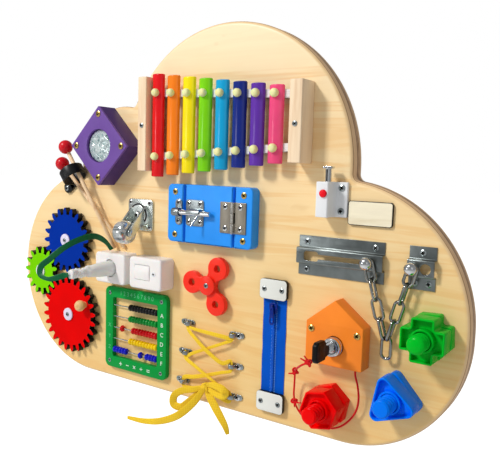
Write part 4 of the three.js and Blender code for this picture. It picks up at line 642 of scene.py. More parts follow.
leftBow = [(25, -198.5, 11), (20, -200.5, 12.5), (10.6, -203.5, 15), (-4, -207.5, 18), (-14, -216, 20),
           (-14, -226, 20), (-5, -228, 18), (5.8, -219, 15), (15, -209.5, 12),
           (21, -203.5, 10.5), (25, -199.5, 10)]
rightBow = [(27.5, -197, 11.5), (33, -193.5, 13), (42.8, -191.5, 15), (55, -193.5, 15), (58, -198, 14),
            (54, -202, 13), (43, -202, 12), (34, -199.5, 11.5), (28, -198, 11)]
leftTail = [(26, -199, 12), (23.5, -205, 16), (20, -213, 21), (10, -225, 26), (-3, -236, 29),
            (-27, -247.6, 30), (-53.5, -254.4, 30), (-82, -257, 30)]
rightTail = [(27.5, -199, 10), (30.5, -204.5, 10.5), (36, -210, 12), (43.5, -218, 13),
             (51.5, -228, 13), (58, -238, 12), (60.6, -248, 10)]
viewSide = (0.55, 0.11, 0.83)   # the way the broad side of a free band faces, so it lies open to the front


def thinned(path):
    # without points that lie on the one before them
    return path[np.concatenate([[True], np.linalg.norm(np.diff(path, axis=0), axis=1) > 0.05])]


def cordPiece(name, path, width, material, body, ref, flat=1.0, stands=(), sides=14, extra=(), **facts):
    shape = tube(path, width / 2, sides, ref, flat, power=2.6 if flat < 1 else 2.0)
    obj = piece(name, [(shape, material), *extra], body, stands, 60)
    return obj


def knotShape(size, wire, turn=0):
    # a trefoil: (sin t + 2 sin 2t, cos t - 2 cos 2t, - sin 3t)
    t = around(72)
    path = np.stack([np.sin(t) + 2 * np.sin(2 * t), np.cos(t) - 2 * np.cos(2 * t), -np.sin(3 * t)], -1) * size / 6
    return shifted(tube(path, wire / 2, 8, (0.1, 0.2, 1), closed=True), turn=turn)


def makeCords():
    path = spline(ribbonBand["route"], 14)
    along = np.linspace(0, 1, len(path))
    pinch = lambda at, depth: depth * np.exp(-((along - at) / 0.07) ** 2)
    spread = ribbonBand["width"] * (1 - pinch(0.04, 0.3) - pinch(0.7, 0.34) - 0.4 * smooth(along, 0.9, 1))
    cordPiece("ribbon_band", path, spread, "ribbon_green", "plug", viewSide, ribbonBand["thin"], "ribbon",
              far_end="object", stiffness="limp", lay="loose")

    path = spline(keyString["route"], 12)
    wire = keyString["width"]
    cordPiece("key_string_loop", path, wire, "string_red", "root", (0.3, 0.2, 1), stands="key_string", sides=10,
              far_end="object", stiffness="limp", lay="hanging")
    knots, ends = [], []
    for x, y, h, turn in [(187.8, -124.2, 56, 20), (152.5, -150, 19, 80), (146.6, -188, 7.5, 140)]:
        knots.append(shifted(knotShape(7.2, wire, turn), x, y, h))
        for side in (-1, 1):
            a = math.radians(turn + 40 * side)
            tail = np.array([(0, 0, 0), (-4 * math.cos(a), 4 * math.sin(a) * side, 1),
                (-9 * math.cos(a), 6.5 * math.sin(a) * side + 1, 2)])
            ends.append(shifted(tube(spline(tail, 5), np.linspace(wire / 2, wire / 3, 11), 8, (0.2, 0.3, 1)), x, y,
                h))
    piece("key_string_knots", [(knots + ends, "string_red")])

    width, thin = laceBand["width"], laceBand["thin"]
    runs = [spline(run, 7) for run in laceRuns]
    lacing = thinned(np.concatenate([runs[0]] + [run[1:] for run in runs[1:]]))
    knot = [shifted(knotShape(10.5, width * 0.62, 30), 26.5, -198, 10.5),
        shifted(aimed(ball(4.6, 12, 20), (0, 0, 0), (0, 0, 1)), 26.5, -198, 9.8)]
    knotPiece = piece("lace_knot", [(knot, "lace_yellow")])
    twist = width * (0.84 + 0.16 * np.sin(np.linspace(0, 31, len(lacing))))
    cordPiece("lace_band", lacing, twist, "lace_yellow", "root", (0, 0.05, 1), thin, "lace",
              far_end="knot", stiffness="limp", lay="taut", with_pieces=[knotPiece])
    for name, bow, tail in [("lace_left", leftBow, leftTail), ("lace_right", rightBow, rightTail)]:
        loop, end = spline(bow, 9), spline(tail, 9)
        path = thinned(np.concatenate([loop, end[1:]]))
        # the bow is broadest, the tail narrows to its tip
        along = np.linspace(0, 1, len(path))
        tied = len(loop) / len(path)
        swell = np.where(along < tied, np.sin(np.pi * np.clip(along / tied, 0, 1)),
            np.sin(np.pi * np.clip((along - tied) / (1 - tied), 0, 1)) ** 0.7)
        spread = laceBand["bow"] * (0.42 + 0.58 * swell)
        cordPiece(name, path, spread, "lace_yellow", "root", viewSide, laceBand["bowThin"], far_end="bare",
            stiffness="limp", lay="hanging")


makeCords()
print("cords made")


cloud = {
    "lobes": [(184.5, -86, 141, 60), (39, 67, 160, 96), (-125, 60, 77, 56), (-184.5, -86, 137.5, 100)],
    "foot": 128, "notch": 8, "rim": 5,
}


def cloudLoop():
    # big arcs, each pair joined by a small hollow arc that touches both
    # the right lobe's lower quarter is a smaller arc between the board's foot and its side
    (x, y, r), low, n = cloud["lobes"][0][:3], cloud["foot"], cloud["notch"]
    points, start = [arc(x + r - low, y - cloud["lobes"][-1][2] + low, low, -math.pi / 2, 0, 50)], 0.0
    for i, (x, y, r, steps) in enumerate(cloud["lobes"]):
        if i == len(cloud["lobes"]) - 1:
            points.append(arc(x, y, r, start, 1.5 * math.pi, steps))
            break
        x2, y2, r2 = cloud["lobes"][i + 1][:3]
        far = math.hypot(x2 - x, y2 - y)
        ux, uy = (x2 - x) / far, (y2 - y) / far
        foot = ((r + n) ** 2 - (r2 + n) ** 2 + far**2) / (2 * far)
        off = math.sqrt((r + n) ** 2 - foot**2)
        nx, ny = x + ux * foot + uy * off, y + uy * foot - ux * off
        end = math.atan2(ny - y, nx - x)
        while end < start:
            end += 2 * math.pi
        points.append(arc(x, y, r, start, end, steps))
        low, high = math.atan2(y - ny, x - nx), math.atan2(y2 - ny, x2 - nx)
        while high > low:
            high -= 2 * math.pi
        points.append(arc(nx, ny, n, low, high, 10)[1:-1])
        start = math.atan2(ny - y2, nx - x2)
    return np.concatenate(points)


def makeBoard():
    piece("board_cloud", [(solidPlate(cloudLoop(), -boardThick, 0, cloud["rim"], steps=6), "birch_ply")],
        stands="board")


makeBoard()

lamp = {"x": -139.5, "y": 85.3, "side": 70.8, "height": 28.5, "lid": 3.6, "window": 42, "screw": 40.06,
    "lensRim": 24.6, "dome": 2.4, "lens": 20.6, "cups": 3, "cupReach": 0.42, "ripples": 24}


def makeLamp():
    side, tall, r = lamp["side"], lamp["height"], lamp["window"] / 2
    square = rectangle(-side / 2, -side / 2, side, side, 0.8, 4)
    body = solidPlate(square, 0, tall - lamp["lid"] - 0.15, 0.6, [circle(0, 0, r, 64)], holeRim=0.1)
    cover = solidPlate(square, tall - lamp["lid"], tall, 0.5, [circle(0, 0, r, 64)], holeRim=0.5)
    body, cover = (shifted(s, lamp["x"], lamp["y"], 0, 45) for s in (body, cover))
    # the box's lower body takes a darker purple: painted shade for its sides
    parts = [(body, "purple_shade"), (cover, "purple_paint")]
    corners = polar(lamp["screw"], np.radians([90, 180, 270, 360]), lamp["x"], lamp["y"])
    parts += screws([(*corner, tall) for corner in corners], 3.9, 1.6)
    piece("light_box_body", parts, stands="light_box")
    # the lens: a low dome with a ring of ripples and three cups over the lamps
    rr, tt = np.linspace(0, 1, 40)[:, None], around(96)[None, :]
    x, y = rr * np.cos(tt), rr * np.sin(tt)
    ripple = 0.25 * np.cos(lamp["ripples"] * tt) * smooth(rr, 0.72, 0.8) * (1 - smooth(rr, 0.9, 0.97))
    h = lamp["lensRim"] + lamp["dome"] * (1 - rr**2) + ripple
    for k in range(lamp["cups"]):
        cx, cy = polar(lamp["cupReach"], 0.5 + k * 2.094)
        d = np.hypot(x - cx, y - cy)
        h = h - 1.1 * (1 - smooth(d, 0.1, 0.28)) + 0.5 * np.exp(-((d - 0.3) / 0.05) ** 2)
    h = h - 0.8 * smooth(rr, 0.95, 1.0)
    radius = lamp["lens"]
    dome = (np.stack([x * radius, y * radius, h], -1).reshape(-1, 3), gridFaces(40, 96))
    cup = lathe([(0, 6.4), (radius, 6.4), (radius, lamp["lensRim"] - 0.8)], 96)
    piece("light_lens_dome", [([shifted(merged(dome, cup), lamp["x"], lamp["y"])], "lens_clear")], "light_lens",
        "light_lens", 50)


makeLamp()

train = {
    "module": 4.1, "pressure": 20, "play": 0.5, "spread": 0.6, "thick": 8, "lift": 2, "bore": 6.4, "cap": 17.5,
    "red": (-216.5, -147.4), "limeBearing": 137.5, "blueBearing": 42.5, "redPhase": 6.7,
    "knobReach": 36.6, "knobBearing": 29, "teeth": {"red": 24, "lime": 15, "blue": 20},
}


def gearLoop(teeth, phase, steps=7):
    # involute flanks: at each radius the half tooth narrows by the involute of its angle
    pitch = train["module"] * teeth / 2
    base = pitch * math.cos(math.radians(train["pressure"]))
    radii = np.linspace(pitch - 1.25 * train["module"], pitch + train["module"], steps)
    involute = lambda r: np.tan(np.arccos(np.minimum(1, base / r))) - np.arccos(np.minimum(1, base / r))
    half = math.pi / teeth / 2 - train["play"] / (2 * pitch)
    half = half + involute(np.float64(pitch)) - involute(np.maximum(radii, base))
    angle = np.concatenate([-half, half[::-1]])
    r = np.concatenate([radii, radii[::-1]])
    t = phase + 2 * np.pi * np.arange(teeth)[:, None] / teeth + angle[None, :]
    return polar(r, t).reshape(-1, 2)


def makeGears():
    m, lift, top = train["module"], train["lift"], train["lift"] + train["thick"]
    red = np.array(train["red"])
    toLime, toBlue = math.radians(train["limeBearing"]), math.radians(train["blueBearing"])
    many = train["teeth"]
    step = lambda a, b, angle: polar(m * (many[a] + many[b]) / 2 + train["spread"], angle)
    lime = red + step("red", "lime", toLime)
    blue = lime + step("lime", "blue", toBlue)

    def meshed(phase, teeth, following, towards):
        # a gap of the next gear points at this gear's tooth
        share = (towards - phase) * teeth / (2 * math.pi) % 1
        return towards + math.pi + (share + 0.5) * 2 * math.pi / following

    redPhase = math.radians(train["redPhase"])
    limePhase = meshed(redPhase, many["red"], many["lime"], toLime)
    bluePhase = meshed(limePhase, many["lime"], many["blue"], toBlue)
    for name, at, phase in [("red", red, redPhase), ("lime", lime, limePhase), ("blue", blue, bluePhase)]:
        walls, front, back = plate(gearLoop(many[name], phase), lift, top, 0.25,
            [circle(0, 0, train["bore"] / 2, 36)], 1)
        put = [shifted(s, at[0], at[1]) for s in (walls, front, back)]
        piece(f"gear_{name}_wheel", [([put[0], put[2]], "burnt_edge"), (put[1], f"gear_{name}_face")], f"gear_{name}",
            f"gear_{name}", 25)
        c, cap = train["cap"] / 2, top + 0.3
        axle = lathe([(0, 0), (5, 0), (5, 1.7), (2.9, 1.7), (2.9, cap), (c - 0.3, cap), (c, cap + 0.3),
            (c, cap + 1.3), (c - 0.2, cap + 1.75), (c - 0.7, cap + 2), (0, cap + 2)], 56, at[0], at[1])
        piece(f"gear_{name}_axle", [(axle, "cap_white" if name != "lime" else "lock_grey"),
            *screws([(at[0], at[1], cap + 2)], 2.9, 1.2, "zinc_plate")], stands=f"gear_axle_{name}")
    k = red + polar(train["knobReach"], math.radians(train["knobBearing"]))
    profile = spline([(4.5, 0), (4.6, 1.6), (5.8, 3.6), (7.3, 6.6), (7.4, 9.6), (5.6, 12.8), (2.4, 13.9), (0, 14)], 6)
    piece("gear_knob_turned", [(lathe(np.concatenate([[(0, 0)], profile]), 44, k[0], k[1], top), "beech")],
        "gear_red", "gear_knob", 50)


makeGears()
print("board, light and gears made")

caster = {"x": -90.2, "y": 0.0, "plate": (41.5, 40, 2.5), "axleY": -20.5, "axleH": 30, "gap": 19, "metal": 2,
    "wheel": 29, "tread": 17, "deck": 5.8, "crown": 13, "eye": 5.2}


def makeCaster():
    x, y = caster["x"], caster["y"]
    w, tall, thick = caster["plate"]
    base = solidPlate(rectangle(-w / 2, -tall / 2, w, tall, 4.5), 0, thick, 0.5)
    race = lathe([(11, thick - 0.2), (11, 5.0), (11.6, 5.5), (14.2, 5.5), (15, 4.7), (15, thick - 0.2)], 64)
    post = lathe([(0, thick), (3, thick), (3, 8.1), (4.6, 8.1), (5, 8.8), (4.4, 9.7), (2.6, 10.1), (0, 10.1)], 36)
    # the dimple on the post top is dark: painted shade
    dimple = lathe([(0, 9.2), (1.6, 9.5), (2.2, 10.25), (0, 10.25)], 24)
    parts = [([shifted(s, x, y) for s in (base, race, post)], "fork_zinc"), (shifted(dimple, x, y), "dark_recess")]
    at = [(sx * (w / 2 - 4.6), sy * (tall / 2 - 4.6)) for sx in (-1, 1) for sy in (-1, 1)]
    parts += screws([(x + a, y + b, thick) for a, b in at], 3.0, 1.4, "chrome")
    piece("caster_plate_pressed", parts, stands="caster_plate")
    deck, reach, eye = caster["deck"], caster["crown"], caster["eye"]
    crown = lathe([(3.3, deck), (reach - 0.6, deck), (reach, 6.2), (12.8, 7.2), (12, 7.75), (3.6, 7.8), (3.3, 7.5),
        (3.3, deck)], 56)
    # a black ring in the gap between the race and the crown: painted shade
    gap_shade_ring = lathe([(10.6, 5.7), (13.9, 5.7), (14.6, 6.1), (13.9, 6.5), (10.6, 6.5), (10.6, 5.7)], 56)
    slope = math.atan2(caster["axleH"] - deck, caster["axleY"])
    lean = math.asin((reach - eye) / math.hypot(caster["axleY"], caster["axleH"] - deck))
    outline = np.concatenate([[(-11, deck), (11, deck)],
        arc(caster["axleY"], caster["axleH"], eye, slope - math.pi / 2 + lean, slope + math.pi / 2 - lean, 20)])
    arm = solidPlate(outline, 0, caster["metal"], 0.45)
    half = caster["gap"] / 2
    metal = [crown, sideways(arm, half), sideways(arm, -half - caster["metal"])]
    hexagon = circle(0, 0, 4.6, 6, 15)
    metal += [sideways(solidPlate(hexagon, 0, 3, 0.5), sx, caster["axleY"], caster["axleH"])
        for sx in (half + 2, -half - 5)]
    metal.append(sideways(rod(2.5, 2 * half + 4), -half - 2, caster["axleY"], caster["axleH"]))
    piece("caster_fork_bent", [([shifted(s, x, y) for s in metal], "fork_zinc"),
        (shifted(gap_shade_ring, x, y), "black_rubber")], "caster_fork", "caster_fork")
    r, t = caster["wheel"] / 2, caster["tread"] / 2
    flank = [(2.8, t), (9.5, t), (10, t - 0.7), (10.6, t), (r - 4, t), (r - 1.4, t - 0.9), (r - 0.2, t - 3.4)]
    profile = [(a, -b) for a, b in flank] + [(r, 0)] + flank[::-1] + [(2.8, -t)]
    tyre = sideways(lathe(profile, 64), x, y + caster["axleY"], caster["axleH"])
    piece("caster_wheel_round", [(tyre, "gel_wheel")], "caster_wheel", "caster_wheel", 40)


makeCaster()

boxes = {"socketX": -122.3, "switchX": -61.4, "y": -70.2, "width": 53, "height": 39.5, "deep": 24, "corner": 5,
    "rim": 2.6, "rocker": (-65.7, -69, 24.5, 18), "recess": 23, "pins": 16.6, "screwX": -46.6}


def makeWallBoxes():
    w, tall, deep, y = boxes["width"], boxes["height"], boxes["deep"], boxes["y"]
    shell = lambda x: rectangle(x - w / 2, y - tall / 2, w, tall, boxes["corner"], 8)
    x, r = boxes["socketX"], boxes["recess"] / 2
    body = solidPlate(shell(x), 0, deep, boxes["rim"], [circle(x, y, r, 64)], 6, backRim=0.3, holeRim=0.5)
    pins = [circle(x, y + s * boxes["pins"] / 2, 2.4, 24) for s in (-1, 1)]
    floor = solidPlate(circle(x, y, r + 0.2, 64), 8, 19, 0.1, pins)
    # a dark disc behind the floor shows through the pin holes: painted shade in the socket
    piece("socket_box_shell", [([body, floor], "white_plastic"),
        (shifted(lathe([(0, 6), (r, 6), (r, 7.9), (0, 7.9)]), x, y), "dark_recess")], stands="socket_box")
    rx, ry, rw, rh = boxes["rocker"]
    hole = rectangle(rx - rw / 2 - 0.5, ry - rh / 2 - 0.5, rw + 1, rh + 1, 1.2)
    body = solidPlate(shell(boxes["switchX"]), 0, deep, boxes["rim"], [hole], 6, backRim=0.3, holeRim=0.25)
    # the pocket round the rocker is grey: painted shade in the gap
    well = solidPlate(inset(hole, -0.3), 12, 16, 0.1)
    lining = merged(wall(inset(hole, 0.06), [(0, 15.5), (0, 22.9), (-0.3, 22.9), (-0.3, 15.5), (0, 15.5)]))
    piece("switch_box_shell", [(body, "white_plastic"), ([well, lining], "groove_grey"),
        *screws([(boxes["screwX"], ry, deep)], 2.9, 1.2, "lock_grey")], stands="switch_box")
    h = rh / 2
    profile = np.concatenate([[(-h, 17.2), (h, 17.2)],
        np.column_stack([np.linspace(h, -h, 13), 24 + 1.4 * (1 - np.abs(np.linspace(-1, 1, 13)) ** 1.4)])])
    rocker = sideways(solidPlate(profile, -rw / 2, rw / 2, 0.5), rx, ry, 0)
    piece("switch_rocker_cap", [(rocker, "white_plastic")], "switch_rocker", "switch_rocker", 24)


makeWallBoxes()

plug = {"back": 19.3, "sleeve": 5.2, "tip": 88.3, "ribs": 6, "stout": 1.12}


def makePlug():
    back, tip = plug["back"], plug["tip"]
    ribs = [(plug["sleeve"] - 0.75 * (i % 2), 64 + i * 1.7) for i in range(1, 2 * plug["ribs"])]
    body = spline([(8.3, back), (8.7, back + 1.2), (8.75, back + 8), (8.4, back + 16), (7.4, back + 28),
        (6.4, back + 38), (6.0, back + 42.6)], 5)
    profile = np.concatenate([[(0, back)], body, [(5.5, 62.8)], ribs,
        [(5.1, tip - 3.8), (5.1, tip - 1.7), (4.6, tip - 0.5), (3.6, tip), (0, tip)]])
    main, profileFaces = lathe(profile, 56)
    t = np.arctan2(main[:, 1], main[:, 0])
    lump = plug["stout"] + smooth(main[:, 2], 50, 62) * (0.1 * np.sin(3 * t + main[:, 2] * 0.35)
        + 0.07 * np.sin(5 * t - main[:, 2] * 0.6 + 1))
    main = (main * np.column_stack([lump, lump, np.ones(len(main))]), profileFaces)
    flange = solidPlate(roundedLoop([(-7.9, -10.2), (7.9, -10.2), (7.9, 10.2), (-7.9, 10.2)], 5.2, 8), back, back + 3,
        0.8)
    ring = lathe([(8.4, back + 4.2), (9.0, back + 4.6), (9.0, back + 5.4), (8.4, back + 5.8)], 56)
    seam = solidPlate(rectangle(-0.3, -0.2, 0.6, 0.4, 0.1, 1), back + 6, back + 40, 0.1)
    wrap = [tube(np.stack([5.35 * np.cos(t), 5.35 * np.sin(t), 83.4 + t * 0.14 + 0.3 * np.sin(3 * t)], -1), 0.55, 8,
        (0, 0, 1)) for t in [np.linspace(0, 6 * np.pi, 120)]]
    put = lambda s: shifted(s, boxes["socketX"], boxes["y"])
    pins = [shifted(rod(2, 10.5), 0, s * boxes["pins"] / 2, back - 10.5) for s in (-1, 1)]
    piece("socket_plug_body", [([put(s) for s in (main, flange, ring, seam)], "plug_white"),
        ([put(s) for s in wrap], "white_plastic"), ([put(s) for s in pins], "satin_nickel")], "plug", "socket_plug",
        35)


makePlug()
print("caster, boxes and plug made")

latch = {"x": -33.5, "y": -27, "height": 69, "side": 23.6, "gap": 3.2, "door": 68.2, "thick": 14.5, "corner": 6,
    "rim": 1.3}
bolt = {"y": 9.3, "h": 19.1, "rod": 3.2, "sheet": 1.2, "strapIn": 3.5, "strapOut": 5.0, "start": -10.6,
    "length": 44.2}
hinge = {"x": 63.1, "h": 17.05, "y": -10.5, "height": 35.3, "leaf": 15, "reach": 2.8, "knuckle": 2.4}


def strap(low, high, first, last):
    # a band bent over the rod: part of a ring drawn in (y, h), carried along x
    a, b = math.radians(first), math.radians(last)
    outer, inner = arc(0, 0, bolt["strapOut"], a, b, 30), arc(0, 0, bolt["strapIn"], b, a, 30)
    return sideways(solidPlate(np.concatenate([outer, inner]), low, high, 0.25), 0, bolt["y"], bolt["h"])


def makeLatch():
    y, tall, thick, rim, c = latch["y"], latch["height"], latch["thick"], latch["rim"], latch["corner"]
    doorX = latch["x"] + latch["side"] + latch["gap"]
    rightX = doorX + latch["door"] + latch["gap"]
    block = lambda x, w, radii, low: solidPlate(rectangle(x, y, w, tall, np.array(radii)), low, thick, rim, steps=5,
        backRim=0.3)
    by, metalTop = bolt["y"], thick + bolt["sheet"]
    left = block(latch["x"], latch["side"], [c, 0.6, 0.6, c], 0)
    film = solidPlate(rectangle(latch["x"] + 1, y + 1, rightX - latch["x"], tall - 2, 1), 0, 0.25, 0.05)
    keeper = solidPlate(rectangle(-21, by - 15.5, 10, 31, 4.7, 8), thick - 0.1, metalTop, 0.35)
    parts = [([left, film], "blue_paint"), ([keeper, strap(-21, -11, -140, 318)], "zinc_plate")]
    parts += screws([(-16, by + s * 10.9, metalTop) for s in (-1, 1)], 3.2, 1.4, "chrome")
    parts += screws([(latch["x"] + 11.5, yy, thick) for yy in (y + 9, y + tall - 9)], 3.6, 1.4)
    piece("latch_left_block", parts, stands="latch_block_left")

    hx, hh, pitch = hinge["x"], hinge["h"], hinge["height"] / 3

    def knuckle(i, towards):
        low = hinge["y"] + i * pitch + (0.15 if i else 0)
        high = hinge["y"] + (i + 1) * pitch - (0.15 if i < 2 else 0)
        drum = aimed(rod(hinge["knuckle"] - 0.4, high - low, 0.25), (hx, low, hh), (0, 1, 0))
        tongue = solidPlate(rectangle(min(hx, hx + towards * 3.4), low, 3.4, high - low, 0.1, 1), thick - 0.05,
            metalTop - 0.5, 0.1)
        return [drum, tongue]

    leaf = lambda x: solidPlate(rectangle(x, hinge["y"], hinge["leaf"], hinge["height"], 0.8), thick - 0.1,
        metalTop, 0.25)
    leafR, leafL = leaf(hx + hinge["reach"]), leaf(hx - hinge["reach"] - hinge["leaf"])
    ys = [hinge["y"] + hinge["height"] / 2 + s * 12.15 for s in (-1, 1)]
    # a dark strip in the gap between the leaves: painted shade
    shaded_groove = solidPlate(rectangle(hx - hinge["reach"] + 0.2, hinge["y"] + 0.3, 2 * hinge["reach"] - 0.4,
        hinge["height"] - 0.6, 0.2, 1), thick - 0.1, thick + 0.2, 0.05)
    pinEnds = [aimed(rod(0.9, 0.6, 0.2), (hx, yy, hh), (0, 1, 0))
        for yy in (hinge["y"] - 0.4, hinge["y"] + hinge["height"] - 0.2)]
    # the knuckles take the lighter metal: painted highlight on the round barrel
    parts = [(block(rightX, latch["side"], [0.6, c, c, 0.6], 0), "blue_paint"), (leafR, "satin_nickel"),
        ([*knuckle(0, 1), *knuckle(2, 1), *pinEnds], "hinge_barrel"), (shaded_groove, "dark_recess")]
    parts += screws([(hx + hinge["reach"] + 7.5, yy, metalTop) for yy in ys], 3.1, 1.4, "chrome")
    parts += screws([(rightX + latch["side"] - 11.5, yy, thick) for yy in (y + 9, y + tall - 9)], 3.6, 1.4)
    piece("latch_right_block", parts, stands="latch_block_right")

    # the middle knuckle takes the lighter metal too: painted highlight
    parts = [(block(doorX, latch["door"], [0.6] * 4, 0.4), "blue_paint"), (leafL, "satin_nickel"),
        (knuckle(1, -1), "hinge_barrel")]
    parts += screws([(hx - hinge["reach"] - 7.5, yy, metalTop) for yy in ys], 3.1, 1.4, "chrome")
    piece("latch_door_board", parts, "door", "latch_door")

    guide = solidPlate(rectangle(-4.5, by - 15.35, 26, 30.7, 3, 6), thick, metalTop, 0.35)
    ridge = solidPlate(rectangle(-3.7, by - 6.75, 24.4, 0.5, 0.2), metalTop - 0.05, metalTop + 0.25, 0.1)
    parts = [([guide, ridge, strap(1.5, 20, -95, 101)], "zinc_plate")]
    parts += screws([(xx, by + s * 10.75, metalTop) for xx in (0.1, 16.9) for s in (-1, 1)], 3.0, 1.4, "chrome")
    piece("bolt_guide_plate", parts, "door", "bolt_guide")

    bar = aimed(rod(bolt["rod"], bolt["length"], 0.8, 36), (bolt["start"], by, bolt["h"]), (1, 0, 0))
    lean, foot = unit(np.array([-0.28, -0.82, 0.5])), np.array([bolt["start"] + 28.3, by, bolt["h"]])
    handle = aimed(rod(1.1, 18, 0.5, 20), foot, lean)
    piece("bolt_rod_round", [([bar, handle], "chrome")], "bolt_rod", "bolt_rod")


makeLatch()

namePlate = {"x": 197.5, "y": 9.6, "width": 47.8, "height": 24.7, "corner": 3, "thick": 3}
pushLock = {"x": 169.5, "y": 16.5, "height": 36, "deep": 22, "button": (8.7, 24.2, 8), "pinX": 8.6, "pinH": 12}


def makePushLock():
    x, y, tall, deep = pushLock["x"], pushLock["y"], pushLock["height"], pushLock["deep"]
    corners = [(0, 0), (27, 0), (27, 4), (15.8, 4), (14, 10), (14, deep), (0, deep)]
    case = upright(solidPlate(roundedLoop(corners, [0.3, 0.3, 1.2, 3, 5, 1.8, 1.8], 6), 0, tall, 0.8, steps=4), x, y)
    bx, by, bd = pushLock["button"]
    collar = lathe([(bd / 2 + 0.3, deep - 0.2), (bd / 2 + 0.3, deep + 0.15), (bd / 2 + 1, deep + 0.15),
        (bd / 2 + 1.2, deep - 0.2)], 40, x + bx, y + by)
    parts = [([case, collar], "lock_grey")] + screws([(x + 20.6, y + yy, 4) for yy in (6, tall - 6)], 3.6, 1.7,
        "zinc_plate")
    piece("lock_case_shell", parts, stands="lock_case")
    button = lathe([(0, 17.4), (bd / 2, 17.4), (bd / 2, deep + 1.3), (bd / 2 - 0.3, deep + 1.9),
        (bd / 2 - 1.1, deep + 2.2), (0, deep + 2.2)], 40, x + bx, y + by)
    piece("lock_button_cap", [(button, "button_red")], "lock_button", "lock_button", 45)
    px, ph = x + pushLock["pinX"], pushLock["pinH"]
    pin = aimed(rod(3.2, 22.6, 0.3, 36), (px, y + tall - 9, ph), (0, 1, 0))
    head = solidPlate(roundedLoop([(-5.5, -4), (5.5, -4), (5.5, 4), (-5.5, 4)], 1.5, 6), 0, 2.4, 0.4)
    head = upright(head, px, y + tall + 13.3, ph)
    # a thin dark line along the top of the plunger: painted shade of a groove
    shaded_groove = aimed(rod(0.55, 12.6, 0.2, 12), (px, y + tall + 0.4, ph + 3.15), (0, 1, 0))
    piece("lock_plunger_bar", [([pin, head], "chrome"), (shaded_groove, "dark_recess")], "lock_plunger", "lock_plunger")


def makeNamePlate():
    thick = namePlate["thick"]
    edge = rectangle(*(namePlate[k] for k in ("x", "y", "width", "height", "corner")), 8)
    piece("name_plate_blank", [(solidPlate(edge, 0, thick - 0.1, 0.25, steps=2), "burnt_edge"),
        (solidPlate(inset(edge, 0.7), thick - 0.2, thick, 0.1, steps=1), "name_wood")],
        stands="name_plate")


makePushLock()
makeNamePlate()
print("door, lock and name plate made")

track = {"x": 141.7, "width": 97.1, "y": -47.7, "height": 42.2, "flange": 12.4, "top": 7.2, "sheet": 1.2,
    "bracketX": 263.7, "bracketWidth": 26.8}
chain = {"y": -26.6, "slider": 224.5, "bracket": 270.3, "plane": 8.9, "wire": 1.6, "bend": 4.75, "half": 6.2,
    "first": 7.4, "step": 19.55, "lean": 0.2803, "end": (248.2, -108.54)}
knobProfile = [(2.0, 7.0), (2.0, 9.4), (2.6, 10.2), (4.2, 10.8), (5.9, 12.6), (6.5, 14.8), (6.2, 17.0), (5.0, 19.0),
    (3.2, 20.2), (0, 20.6)]


def hatSection(x, width, hole):
    # a strip bent up and over: two feet with their webs, and the top between them with its hole
    y, s, top, foot = track["y"], track["sheet"], track["top"], track["flange"]
    high = y + track["height"]
    upper = [(high, 0), (high, s), (high - foot, s), (high - foot, top), (high - foot - 1.7, top),
        (high - foot - 1.7, top - s), (high - foot - s, top - s), (high - foot - s, 0)]
    radii = [0.2, 0.2, 1.0, 1.5, 0.02, 0.02, 0.4, 1.4]
    upperLoop = roundedLoop(upper, radii, 6)
    lowerLoop = (upperLoop * [-1, 1] + [2 * y + track["height"], 0])[::-1]
    feet = [sideways(solidPlate(loop, x, x + width, 0.15)) for loop in (upperLoop, lowerLoop)]
    span = track["height"] - 2 * foot - 3.4
    flat = solidPlate(rectangle(x, y + foot + 1.7, width, span, 0.05, 1), top - s, top, 0.02, [hole], holeRim=0.25)
    return [*feet, flat]


def linkShape():
    bend, half = chain["bend"], chain["half"]
    loop = np.concatenate([arc(half, 0, bend, -math.pi / 2, math.pi / 2, 14),
        arc(-half, 0, bend, math.pi / 2, 1.5 * math.pi, 14)])
    path = np.column_stack([loop[:, 1], np.zeros(len(loop)), loop[:, 0]])
    weld = 1 + 0.12 * np.exp(-((path[:, 2] / 1.6) ** 2)) * (path[:, 0] > 0)
    return tube(path, chain["wire"] * weld, 12, (0, 1, 0), closed=True)


def strand(x, lean, count):
    # links along a straight line from a stud, every other one turned a quarter about it
    d = np.array([math.sin(lean), -math.cos(lean), 0])
    start = np.array([x, chain["y"], chain["plane"]])
    sides = [(0, 0, 1), (math.cos(lean), math.sin(lean), 0)]
    return [aimed(linkShape(), start + d * (chain["first"] + chain["step"] * i), d, sides[i % 2])
        for i in range(count)]


